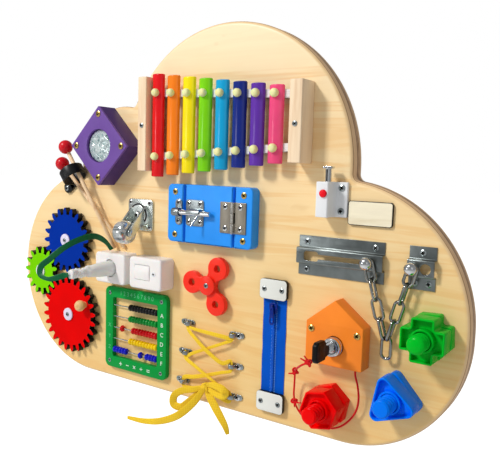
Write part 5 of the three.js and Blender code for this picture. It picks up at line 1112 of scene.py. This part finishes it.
def makeChain():
    y = chain["y"]
    left, right, slotEnd = track["x"] + 9, track["x"] + 26, track["x"] + track["width"] - 9.2
    r, tall, c = 2.5, 5.2, 3.1
    keyhole = np.concatenate([
        arc(slotEnd - r, y, r, -math.pi / 2, math.pi / 2, 14),
        arc(right - c, y + tall - c, c, math.radians(8), math.pi / 2, 6),
        arc(left + c, y + tall - c, c, math.pi / 2, math.pi, 6),
        arc(left + c, y - tall + c, c, math.pi, 1.5 * math.pi, 6),
        arc(right - c, y - tall + c, c, 1.5 * math.pi, math.radians(352), 6)])
    parts = [(hatSection(track["x"], track["width"], keyhole), "brushed_steel")]
    feet = (y - 14.9, y + 14.9)
    parts += screws([(x, yy, track["sheet"]) for x in (track["x"] + 10, track["x"] + track["width"] - 10)
        for yy in feet], 3.3, 1.5, "zinc_plate")
    piece("chain_track_bent", parts, stands="chain_track")
    bx = track["bracketX"]
    hole = circle(bx + 18.2, y, 5.3, 36)
    rivet = lathe([(0, 5.4), (4.2, 5.4), (4.2, 5.95), (2, 5.98), *knobProfile], 44, chain["bracket"], y)
    parts = [(hatSection(bx, track["bracketWidth"], hole), "brushed_steel"), (rivet, "chrome")]
    parts += screws([(bx + 13.4, feet[1], track["sheet"]), (bx + 6.5, feet[0], track["sheet"]),
        (bx + 20.3, feet[0], track["sheet"])], 3.3, 1.5, "zinc_plate")
    piece("chain_bracket_bent", parts, stands="chain_bracket")
    slider = lathe([(0, 3.8), (4.2, 3.8), (4.2, 5.6), (2, 5.7), *knobProfile], 44, chain["slider"], y)
    piece("chain_slider_knob", [(slider, "chrome")], "chain_slider", "chain_slider", 45)
    lean = chain["lean"]
    end = aimed(linkShape(), (*chain["end"], chain["plane"]), (0, -1, 0), (0, 0, 1))
    piece("chain_left_links", [([*strand(chain["slider"], lean, 4), end], "link_steel")], "chain_left", "chain_left",
        60)
    piece("chain_right_links", [(strand(chain["bracket"], -lean, 4), "link_steel")], "chain_right", "chain_right", 60)


makeChain()

zipper = {"x": 113.6, "width": 34.5, "tape": 30, "low": -206.2, "high": -59.9, "toothLow": -186.2, "toothHigh": -79.8,
    "pitch": 1.9, "plates": (-79.9, -208.7), "plateTall": 22.5, "plateLow": 1.6, "plateTop": 6.4,
    "screw": 11.25, "slider": -90.4, "stitches": 52}


def makeZip():
    x, half = zipper["x"], zipper["tape"] / 2
    # the tape, slightly rippled across its length and humped along the stringer
    rows, cols = 110, 27
    v, u = np.linspace(0, 1, rows)[:, None], np.linspace(-1, 1, cols)[None, :]
    y = zipper["low"] + (zipper["high"] - zipper["low"]) * v
    flutter = 0.16 * np.sin(v * 41 + u * 2.2) * np.abs(u) ** 2 * smooth(v, 0.1, 0.2) * (1 - smooth(v, 0.8, 0.9))
    h = 0.75 + 0.35 * np.exp(-((u / 0.28) ** 2)) + flutter
    xs = x + u * half * (1 + 0.012 * np.sin(v * 23))
    top = np.stack([np.broadcast_to(xs, (rows, cols)), np.broadcast_to(y, (rows, cols)),
        np.broadcast_to(h, (rows, cols))], -1).reshape(-1, 3)
    under = top - [0, 0, 0.5]
    quads = gridFaces(rows, cols, False)
    n = rows * cols
    edge = [*range(cols), *range(2 * cols - 1, n, cols), *range(n - 2, n - cols - 1, -1),
        *range(n - 2 * cols, cols - 1, -cols)]
    sides = [[a, b, b + n, a + n] for a, b in zip(edge, edge[1:] + edge[:1])]
    tape = (np.concatenate([top, under]), quads + [[i + n for i in f[::-1]] for f in quads] + sides)
    cloth = piece("zip_tape_cloth", [(tape, "zip_tape")], stands="zip_tape")
    seams = []
    for k in range(zipper["stitches"]):
        for spot in (-2.1 + 0.9 * (k % 2), 2.9):
            stitch = solidPlate(rectangle(-0.75, 0, 1.5, 1.0, 0.3, 2), 1.0, 2.0 if spot < 0 else 1.5, 0.2)
            seams.append(shifted(stitch, x + spot, zipper["toothLow"] + 2 * k))
    count = int((zipper["toothHigh"] - zipper["toothLow"]) / zipper["pitch"])
    tooth = solidPlate(rectangle(-1.9, -0.62, 2.5, 1.24, 0.3, 1), 1.0, 2.7, 0.3, steps=1)
    teeth = []
    for k in range(count):
        yy = zipper["toothLow"] + zipper["pitch"] * (k + 0.5)
        teeth.append(shifted(tooth, x, yy - 0.47))
        teeth.append(shifted(tooth, x, yy + 0.47, 0, 180))
    row = piece("zip_teeth", [(teeth, "zip_teeth"), (seams, "zip_stitch")])
    half, plates, tops, marks = zipper["width"] / 2, [], [], []
    for low in zipper["plates"]:
        outline = rectangle(x - half, low, zipper["width"], zipper["plateTall"], 4, 6)
        walls, front, back = plate(outline, zipper["plateLow"], zipper["plateTop"], 0.2, steps=2)
        plates += [walls, back]
        tops.append(front)
        marks += screws([(x + s * zipper["screw"], low + 11, zipper["plateTop"]) for s in (-1, 1)], 2.9, 1.3,
            "zinc_plate")
    piece("zip_end_plates", [(plates, "burnt_edge"), (tops, "plate_white"), *marks])
    shield = roundedLoop([(-3, -6.5), (3, -6.5), (4.6, -2), (5.5, 5.2), (2, 6.5), (-2, 6.5), (-5.5, 5.2), (-4.6, -2)],
        1.2, 4)
    body = solidPlate(shield, 3.3, 4.9, 0.6)
    bridge = tube(np.array([(0, 4.6, 4.4), (0, 4.4, 6.2), (0, 2.4, 6.9), (0, -1.5, 6.9), (0, -3.4, 6.2),
        (0, -3.8, 4.6)]), 1.1, 10, (1, 0, 0), 0.8)
    eyes = [circle(0, -0.4, 0.9, 16), roundedLoop([(-1.3, -15.6), (1.3, -15.6), (1.3, -10), (-1.3, -10)], 1.2, 5)]
    pull = roundedLoop([(-2.2, -17.8), (2.2, -17.8), (3, -13), (2.1, 2.2), (-2.1, 2.2), (-3, -13)], 1.4, 5)
    pull = solidPlate(pull, 6.6, 8.0, 0.5, eyes)
    put = lambda s: shifted(s, x, zipper["slider"])
    piece("zip_slider_body", [([put(s) for s in (body, bridge, pull)], "zip_slider")], "zip_slider", "zip_slider", 40)


makeZip()
print("chain and zip made")

house = {"corners": [(163.5, -136), (227.5, -136), (227.5, -92.2), (195.5, -67), (163.5, -92.2)], "deep": 19,
    "x": 196.5, "y": -114.3, "bore": 10.3, "screws": [(169.8, -99.7), (221.2, -99.7)]}


def makeHouse():
    x, y, deep = house["x"], house["y"], house["deep"]
    block = solidPlate(roundedLoop(house["corners"], 1.2, 4), 0, deep, 1.0, [circle(x, y, house["bore"], 56)],
        holeRim=0.6)
    parts = [(block, "orange_paint")] + screws([(*at, deep) for at in house["screws"]], 3.5, 1.7, "brass")
    piece("house_block_cut", parts, stands="house_block")
    barrel = lathe([(0, 2), (9.7, 2), (9.7, 19.4), (10, 19.7), (10, 21.2), (9.7, 21.5), (9.7, 22.0), (10, 22.3),
        (10, 25.7), (9.5, 26.6), (8.9, 27), (8.0, 27), (7.8, 26.5), (7.3, 26.5), (7.1, 27), (6.6, 26.8), (6.4, 26.2),
        (6.4, 18.2), (0, 18.2)], 64, x, y)
    piece("lock_barrel_turned", [(barrel, "chrome")], stands="lock_barrel")
    core = lathe([(0, 18.4), (6.1, 18.4), (6.1, 26.3), (5.7, 26.8), (3.4, 26.8), (3.2, 26.4), (0, 26.4)], 48, x, y)
    blade = shifted(solidPlate(rectangle(-1.1, -3.7, 2.2, 7.4, 0.3, 2), 24.5, 46, 0.3), x, y)
    bow = roundedLoop([(-8.2, 43), (-5.6, 42), (9.6, 42), (12.3, 45), (12.5, 58.5), (9.5, 62), (-5.5, 62),
        (-8.5, 59)], [1.5, 3, 3, 3, 4, 4, 4, 3], 6)
    shank = roundedLoop([(-4.6, 34), (4.6, 34), (6.4, 43), (-6.4, 43)], 1.4, 4)
    handle = [sideways(solidPlate(bow, -3, 3, 1.7, steps=5), x, y),
        sideways(solidPlate(shank, -2.6, 2.6, 1.2, steps=4), x, y)]
    scar = roundedLoop([(-5.2, 46), (9, 46), (9, 58), (-5.2, 58)], 3, 6)
    scar = [sideways(solidPlate(scar, s * 2.8 - 0.35, s * 2.8 + 0.35, 0.25), x, y) for s in (-1, 1)]
    piece("key_turned", [([core, blade], "chrome"), ([*handle, *scar], "key_black")], "key", "key", 40)


makeHouse()

toy = {"head": 12, "top": 52, "shaft": 8.8, "root": 7.3, "pitch": 5.2, "low": 12.3, "nut": 20, "wall": 2,
    "collar": 11.5, "bore": 9.3}


def regular(sides, reach, turn, corner):
    return roundedLoop(circle(0, 0, reach, sides, turn), corner, 6)


def crossLoop(half, arm, turn, corner):
    t = math.radians(turn)
    p = np.array([(half, -arm), (half, arm), (arm, arm), (arm, half), (-arm, half), (-arm, arm), (-half, arm),
        (-half, -arm), (-arm, -arm), (-arm, -half), (arm, -half), (arm, -arm)])
    p = p @ np.array([[math.cos(t), math.sin(t)], [-math.sin(t), math.cos(t)]])
    return roundedLoop(p, corner, 5)


def threadedShaft(low, high, domed):
    # radius = crest - depth x a trapezoid wave of (height / pitch - turn / full turn)
    rows, sides = 120, 56
    h = np.linspace(low, high, rows)[:, None]
    t = around(sides)[None, :]
    phase = (h / toy["pitch"] - t / (2 * np.pi)) % 1
    wave = np.clip(np.abs(phase - 0.5) * 4.4 - 0.6, 0, 1)
    r = toy["shaft"] - (toy["shaft"] - toy["root"]) * wave * (1 - smooth(h, high - 3.2, high - 2.2))
    end = 3.2 if domed else 1.6
    drop = smooth(h, high - end, high) if not domed else np.clip((h - high + end) / end, 0, 1) ** 2
    r = r - (1.6 if not domed else 3.4) * drop
    points = np.stack([r * np.cos(t), r * np.sin(t), np.broadcast_to(h, r.shape)], -1).reshape(-1, 3)
    faces = gridFaces(rows, sides)
    shape = (points, faces + [list(range(sides))])
    last = float(r[-1].mean())
    cap = lathe([(last, high), (last * 0.97, high + 0.02), (last * 0.5, high + (0.9 if domed else 0.05)),
        (0, high + (1.1 if domed else 0.05))], sides)
    return [shape, cap]


def makeToy(name, x, y, headLoop, nutLoop, material, floorTop, collarTop, domed=False):
    put = lambda s: shifted(s, x, y)
    head = solidPlate(headLoop, 0, toy["head"], 1.2, steps=4, backRim=0.5)
    shaft = threadedShaft(toy["head"] - 0.2, toy["top"] - (1.1 if domed else 0.1), domed)
    piece(f"toy_bolt_{name}_moulded", [([put(s) for s in (head, *shaft)], material)], stands=f"toy_bolt_{name}")
    low, high, wallThick = toy["low"], toy["low"] + toy["nut"], toy["wall"]
    inner = inset(nutLoop, wallThick)
    cup = solidPlate(nutLoop, low, high, 0.85, [inner], steps=4, holeRim=0.6)
    floor = solidPlate(inset(inner, -0.4), low + 0.4, floorTop, 0.1, [circle(0, 0, toy["bore"], 48)], holeRim=0.1)
    collar = solidPlate(circle(0, 0, toy["collar"], 56), floorTop - 0.2, collarTop, 0.6,
        [circle(0, 0, toy["bore"], 56)], holeRim=0.5)
    piece(f"nut_{name}_moulded", [([put(s) for s in (cup, floor, collar)], material)], f"nut_{name}", f"nut_{name}")


makeToy("red", 187.5, -181, regular(6, 22.6, 18.7, 1.4), regular(6, 22.0, 11.8, 1.4), "nut_red", 28, 33.2)
makeToy("green", 290.5, -89.5, crossLoop(21.5, 11, 3, 2.2), crossLoop(21.2, 11, 0, 2.2), "nut_green", 25.5, 33.2,
    domed=True)
makeToy("blue", 262, -155.5, regular(3, 31, 102, 6.5), regular(3, 31.5, 109, 6.5), "nut_blue", 26, 31)
print("house and toys made")

spinner = {"x": 25.9, "y": -75, "reach": 24.4, "lobe": 13.5, "waist": 10, "hole": 4.5, "bore": 4, "low": 3,
    "high": 10, "turn": 178}


def makeSpinner():
    reach, lobe, waist = spinner["reach"], spinner["lobe"], spinner["waist"]
    # the flank's arc touches both its lobes: its centre lies where (far - waist) + lobe is the distance to a lobe
    far = (reach**2 - (lobe - waist) ** 2) / (reach + 2 * (lobe - waist))
    flank, loop = far - waist, []
    spot = lambda r, degrees: polar(r, math.radians(degrees))
    bearing = lambda v: math.atan2(v[1], v[0])
    for k in range(3):
        a = spinner["turn"] + 120 * k
        c, before, after, following = spot(reach, a), spot(far, a - 60), spot(far, a + 60), spot(reach, a + 120)
        low, high = bearing(before - c), bearing(after - c)
        loop.append(arc(*c, lobe, low, high + (2 * math.pi if high < low else 0), 26))
        low, high = bearing(c - after), bearing(following - after)
        loop.append(arc(*after, flank, low, high - (2 * math.pi if high > low else 0), 12)[1:-1])
    holes = [circle(*spot(reach, spinner["turn"] + 120 * k), spinner["hole"], 32) for k in range(3)]
    holes.append(circle(0, 0, spinner["bore"], 32))
    body = solidPlate(np.concatenate(loop), spinner["low"], spinner["high"], 0.9, holes, steps=4, holeRim=0.4)
    piece("spinner_lobes", [(shifted(body, spinner["x"], spinner["y"]), "spinner_red")], "spinner", "spinner")
    hub = lathe([(0, 0), (7.6, 0), (7.6, 2.7), (3.6, 2.7), (3.6, 10.3), (11, 10.3), (11.5, 10.8), (11.5, 12.3),
        (11.2, 13), (10.6, 13.3), (0, 13.3)], 56, spinner["x"], spinner["y"])
    piece("spinner_hub_cap", [(hub, "spinner_red"), *screws([(spinner["x"], spinner["y"], 13.3)], 3.0, 1.3,
        "zinc_plate")], stands="spinner_hub")


makeSpinner()

abacus = {"x": -147, "y": -207, "width": 107.6, "height": 109.1, "thick": 7,
    "rows": [-122.2, -137.2, -152.2, -167.2, -182.2], "wireH": 4.9, "bead": 8.6, "step": 4.9,
    "opening": (-133, -192, 78, 80)}
beadRows = [
    ("beads_black", 0, -104.6, 10, (30, 30, 32)), ("beads_green", 1, -104.6, 10, (0, 138, 52)),
    ("bead_red", 2, -119.66, 1, (206, 10, 22)), ("beads_red", 2, -99.7, 9, (206, 10, 22)),
    ("beads_yellow", 3, -104.6, 10, (246, 206, 8)), ("beads_blue", 4, -132.4, 5, (22, 30, 190)),
    ("bead_blue", 4, -86.96, 1, (22, 30, 190)), ("beads_blue_right", 4, -75.2, 4, (22, 30, 190))]


def letters(text, size, low, high):
    # a text's outline as a solid between two heights, centred on its own middle
    curve = bpy.data.curves.new(f"text_{text}", "FONT")
    curve.body, curve.size, curve.extrude, curve.resolution_u = text, size, (high - low) / 2, 3
    curve.align_x, curve.align_y = "CENTER", "CENTER"
    temp = bpy.data.objects.new(f"text_{text}", curve)
    show(temp)
    bpy.context.view_layer.update()
    mesh = bpy.data.meshes.new_from_object(temp.evaluated_get(bpy.context.evaluated_depsgraph_get()))
    points = np.array([v.co[:] for v in mesh.vertices]) + [0, 0, (low + high) / 2]
    faces = [list(f.vertices) for f in mesh.polygons]
    bpy.data.objects.remove(temp)
    bpy.data.curves.remove(curve)
    bpy.data.meshes.remove(mesh)
    return points, faces


def makeAbacus():
    x, y, w, tall, thick = (abacus[k] for k in ("x", "y", "width", "height", "thick"))
    opening = rectangle(*abacus["opening"], 2, 4)
    frameShape = solidPlate(rectangle(x, y, w, tall, 8, 8), 0, thick, 1.0, [opening], steps=4, holeRim=0.8)
    wires = [aimed(rod(0.8, 79, 0.1, 16), (-133.5, yy, abacus["wireH"]), (1, 0, 0)) for yy in abacus["rows"]]
    raised = lambda text, size, rise, x, y: shifted(letters(text, size, thick - 0.1, thick + rise), x, y)
    digits = [raised(s, 8.2, 0.35, -118 + 6.1 * i, -105) for i, s in enumerate("1234567890")]
    signs = [raised(s, 10.5, 0.3, -117.8 + 12.2 * i, -200.2) for i, s in enumerate("+−×÷=")]
    column = [raised(s, 7.6, 0.3, -46.9, -124 - 12.3 * i) for i, s in enumerate("ABCDEF")]
    faint = [raised(s, 7, 0.3, -138.4, -150 - 15 * i) for i, s in enumerate("XYZ")]
    parts = [(frameShape, "abacus_green"), (wires, "chrome"), (digits + faint, "digit_green"),
        (signs + column, "sign_white")]
    parts += screws([(xx, yy, thick) for xx in (-138.4, -48) for yy in (-198.4, -106.5)], 2.5, 1.0, "zinc_plate")
    piece("abacus_frame_moulded", parts, stands="abacus_frame")
    crown, half = abacus["bead"] / 2, abacus["step"] / 2
    slope = [(1.1, half), (2.0, half), (2.9, half - 0.2), (3.7, half - 0.75), (crown, 0.25)]
    profile = [(r, -t) for r, t in slope] + slope[::-1] + [(1.1, -half)]
    bead = lathe(profile, 32)
    for name, row, start, count, colour in beadRows:
        paint = f"{name}_paint"
        finish[paint] = mouldedPlastic(paint, colour, 0.2, 0.06)
        shapes = [aimed(bead, (start + 2.5 + abacus["step"] * k, abacus["rows"][row], abacus["wireH"]), (1, 0, 0))
            for k in range(count)]
        piece(f"{name}_turned", [(shapes, paint)], name, name, 50)


makeAbacus()
print("spinner and abacus made")

bars = {"x": -51, "step": 23.75, "width": 17.4, "long": 122, "short": 83, "y": 110.5, "low": 13, "high": 20,
    "crown": 3.6}
posts = [(-74, 56, 13.2, 112), (137, 70.5, 15, 85)]
rails = [(149.2, 143.0), (73.9, 85.6)]


def makeXylophone():
    blocks = [solidPlate(rectangle(x, y, w, tall, 1.0, 3), 0, 26, 1.1, steps=4) for x, y, w, tall in posts]
    piece("xylophone_posts", [(blocks, "post_wood"), *screws([(-67.4, bars["y"], 26), (144.5, bars["y"], 26)], 3.0,
        1.3, "zinc_plate")], stands="xylophone")
    last = bars["x"] + bars["step"] * 7
    lineAt = lambda rail, x: rail[0] + (rail[1] - rail[0]) * (x - bars["x"]) / (last - bars["x"])
    under, felt = [], []
    for rail in rails:
        corners = [(x, lineAt(rail, x) + s) for x, s in ((-58, -4.5), (137, -4.5), (137, 4.5), (-58, 4.5))]
        # the lower part of each rail is black: painted shade for its shaded underside
        under.append(solidPlate(roundedLoop(corners, 0.2, 1), 4, 9.6, 0.2, steps=1))
        felt.append(solidPlate(roundedLoop(corners, 0.2, 1), 9.6, 13, 0.6))
    piece("xylophone_rails", [(under, "burnt_edge"), (felt, "rail_felt")])
    half, crown = bars["width"] / 2, bars["crown"]
    bow = np.linspace(half - 0.9, -half + 0.9, 15)
    top = np.column_stack([bow, bars["high"] - crown * (bow / half) ** 2])
    edge = [(half - 0.5, bars["low"]), (half, bars["low"] + 0.5), (half, bars["high"] - crown - 0.8)]
    mirror = [(-half, bars["high"] - crown - 0.8), (-half, bars["low"] + 0.5), (-half + 0.5, bars["low"])]
    section = np.concatenate([edge, top, mirror])
    pinProfile = [(0, 17.5), (4.6, 17.5), (4.7, 20.0), (4.6, 22.4), (3.9, 23.8), (2.4, 24.5), (0, 24.5)]
    pins = []
    for i in range(8):
        x, length = bars["x"] + bars["step"] * i, bars["long"] - (bars["long"] - bars["short"]) * i / 7
        bar = upright(solidPlate(section, -length / 2, length / 2, 1.5, steps=5), x, bars["y"])
        piece(f"xylophone_bar_{i + 1}", [(bar, f"bar_paint_{i}")])
        pins += [lathe(pinProfile, 32, x, lineAt(rail, x)) for rail in rails]
    piece("xylophone_pins", [(pins, "pin_pale")], crease=45)


makeXylophone()

mallets = {"upper": ((-208.5, 83.4, 22), (-133, -44.6, 6.4)), "lower": ((-227, 61.1, 12), (-119, -43, 2.7)),
    "ball": 9.2, "stick": 2.55}
clip = {"x": -200.4, "y": 48, "turn": 37, "inner": 14.5, "outer": 16.1, "h": 16.4, "band": 14.6, "tongue": 40,
    "screw": 34}


def makeMallets():
    for name, (head, foot) in ((k, mallets[k]) for k in ("upper", "lower")):
        head, foot = np.array(head, float), np.array(foot, float)
        length = float(np.linalg.norm(foot - head))
        stick = aimed(rod(mallets["stick"], length + 1.5, 0.9, 28), head + unit(foot - head) * 1.0, foot - head)
        r = mallets["ball"]
        t = np.linspace(-math.pi / 2, math.pi / 2, 26)
        profile = [(0.0, -r)] + [(r * math.cos(a), r * math.sin(a)) for a in t[1:-2]] + [(2.9, r * 0.955),
            (2.5, r * 0.9), (0, r * 0.9)]
        knob = aimed(lathe(profile, 44), head, foot - head)
        piece(f"mallet_{name}_whole", [(knob, "mallet_red"), (stick, "stick_wood")], f"mallet_{name}",
            f"mallet_{name}", 50)
    b, r, out, h = clip["band"] / 2, clip["inner"], clip["outer"], clip["h"]
    ring = upright(solidPlate(circle(0, 0, out, 72), -b, b, 0.5, [circle(0, 0, r, 72)], holeRim=0.5), 0, 0, h)
    long = clip["tongue"]
    tongue = lambda low, high: solidPlate(roundedLoop([(-long, -b), (-3, -b), (-3, b), (-long, b)], [b, 0.5, 0.5, b],
        8), low, high, 0.35)
    # the band leaves the ring along a hollow curve down to the two tongues
    neck = np.array([(-26, 1.95), (-8, 1.2), (-10.2, h - 11), (-14.6, h - 6.2), (-15.6, h - 5.6), (-13.8, 6.4),
        (-16.5, 4.2), (-20.5, 3.5), (-26, 3.5)])
    fillet = upright(solidPlate(neck, -b, b, 0.3), 0, 0, 0)
    put = lambda s: shifted(s, clip["x"], clip["y"], 0, clip["turn"])
    parts = [([put(s) for s in (ring, tongue(0.3, 1.85), tongue(1.95, 3.5), fillet)], "black_rubber")]
    at = polar(-clip["screw"], math.radians(clip["turn"]), clip["x"], clip["y"])
    parts += screws([(*at, 3.5)], 3.6, 1.6, "zinc_plate")
    piece("mallet_clip_strap", parts, stands="mallet_clip")


makeMallets()

eyelet = {"outer": 4.5, "inner": 3.2, "half": 2.5, "h": 4.7, "foot": (10.5, 3.4), "sheet": 1.5, "ear": 3.4,
    "screw": 6.9}
eyelets = [(-6 - 3.2 * r, -126.5 - 37 * r) for r in range(3)] + [(60.0, -130.0 - 37 * r) for r in range(3)]


def makeEyelets():
    turns = np.radians(np.linspace(-52, 232, 40))
    strip = np.concatenate([polar(eyelet["outer"], turns), polar(eyelet["inner"], turns[::-1])])
    w, t = eyelet["foot"]
    foot = roundedLoop([(-w, -t), (w, -t), (w, t), (-w, t)], 3.3, 6)
    bent, heads = [], []
    for i, (x, y) in enumerate(eyelets):
        out = -1 if i < 3 else 1
        loop = upright(solidPlate(strip, -eyelet["half"], eyelet["half"], 0.7), x, y, eyelet["h"])
        ear = shifted(solidPlate(foot, 0.1, eyelet["sheet"], 0.3), x + out * eyelet["ear"], y)
        bent += [loop, ear]
        heads.append((x + out * eyelet["screw"], y, eyelet["sheet"]))
    piece("lace_eyelets", [(bent, "zinc_plate"), *screws(heads, 4.2, 1.9, "chrome")])


makeEyelets()
print("xylophone, mallets and eyelets made")

floor = {"z": -0.9, "size": 60}
lamps = [("key", (-1.15, -2.0, 1.8), 60.0, 0.48, (1.0, 0.985, 0.955)),
    ("side", (-1.05, -1.45, 0.12), 2.0, 0.3, (1, 1, 1)), ("fill", (1.2, -1.6, 0.5), 1.4, 1.0, (0.97, 0.985, 1.0))]


def makeLight():
    for name, spot, power, size, colour in lamps:
        lamp = bpy.data.lights.new(name, "AREA")
        lamp.energy, lamp.size, lamp.color = power, size, colour
        obj = bpy.data.objects.new(name, lamp)
        obj.location = spot
        obj.rotation_euler = (-Vector(spot)).to_track_quat("-Z", "Y").to_euler()
        show(obj)
    # white where the camera looks, softer where it lights the object
    world = bpy.data.worlds.new("world")
    bpy.context.scene.world = world
    world.use_nodes = True
    air = Nodes(world.node_tree)
    ray = lambda kind: air.add("ShaderNodeLightPath", output=f"Is {kind} Ray")
    seen = ray("Camera").math("MAXIMUM", ray("Transmission"))
    sky = next(n for n in air.tree.nodes if n.type == "BACKGROUND")
    air.feed(sky.inputs["Strength"], seen.math("MAXIMUM", ray("Glossy") * -0.12 + 0.4))
    air.feed(sky.inputs["Color"], (1, 1, 1, 1))
    mesh = bpy.data.meshes.new("floor")
    s = floor["size"] / 2
    mesh.from_pydata([(-s, -s, floor["z"]), (s, -s, floor["z"]), (s, s, floor["z"]), (-s, s, floor["z"])], [],
        [(0, 1, 2, 3)])
    ground = bpy.data.objects.new("floor", mesh)
    show(ground)
    paint = Paint("floor_white", (0.9, 0.9, 0.9, 1), 0.9)
    seenRay = paint.add("ShaderNodeLightPath")
    paint.set("Emission Color", paint.blend(seenRay, (0, 0, 0, 1), (0.78, 0.78, 0.78, 1)))
    paint.set("Emission Strength", 1.0)
    mesh.materials.append(paint.material)


makeLight()
bpy.context.scene.view_settings.view_transform = "Standard"
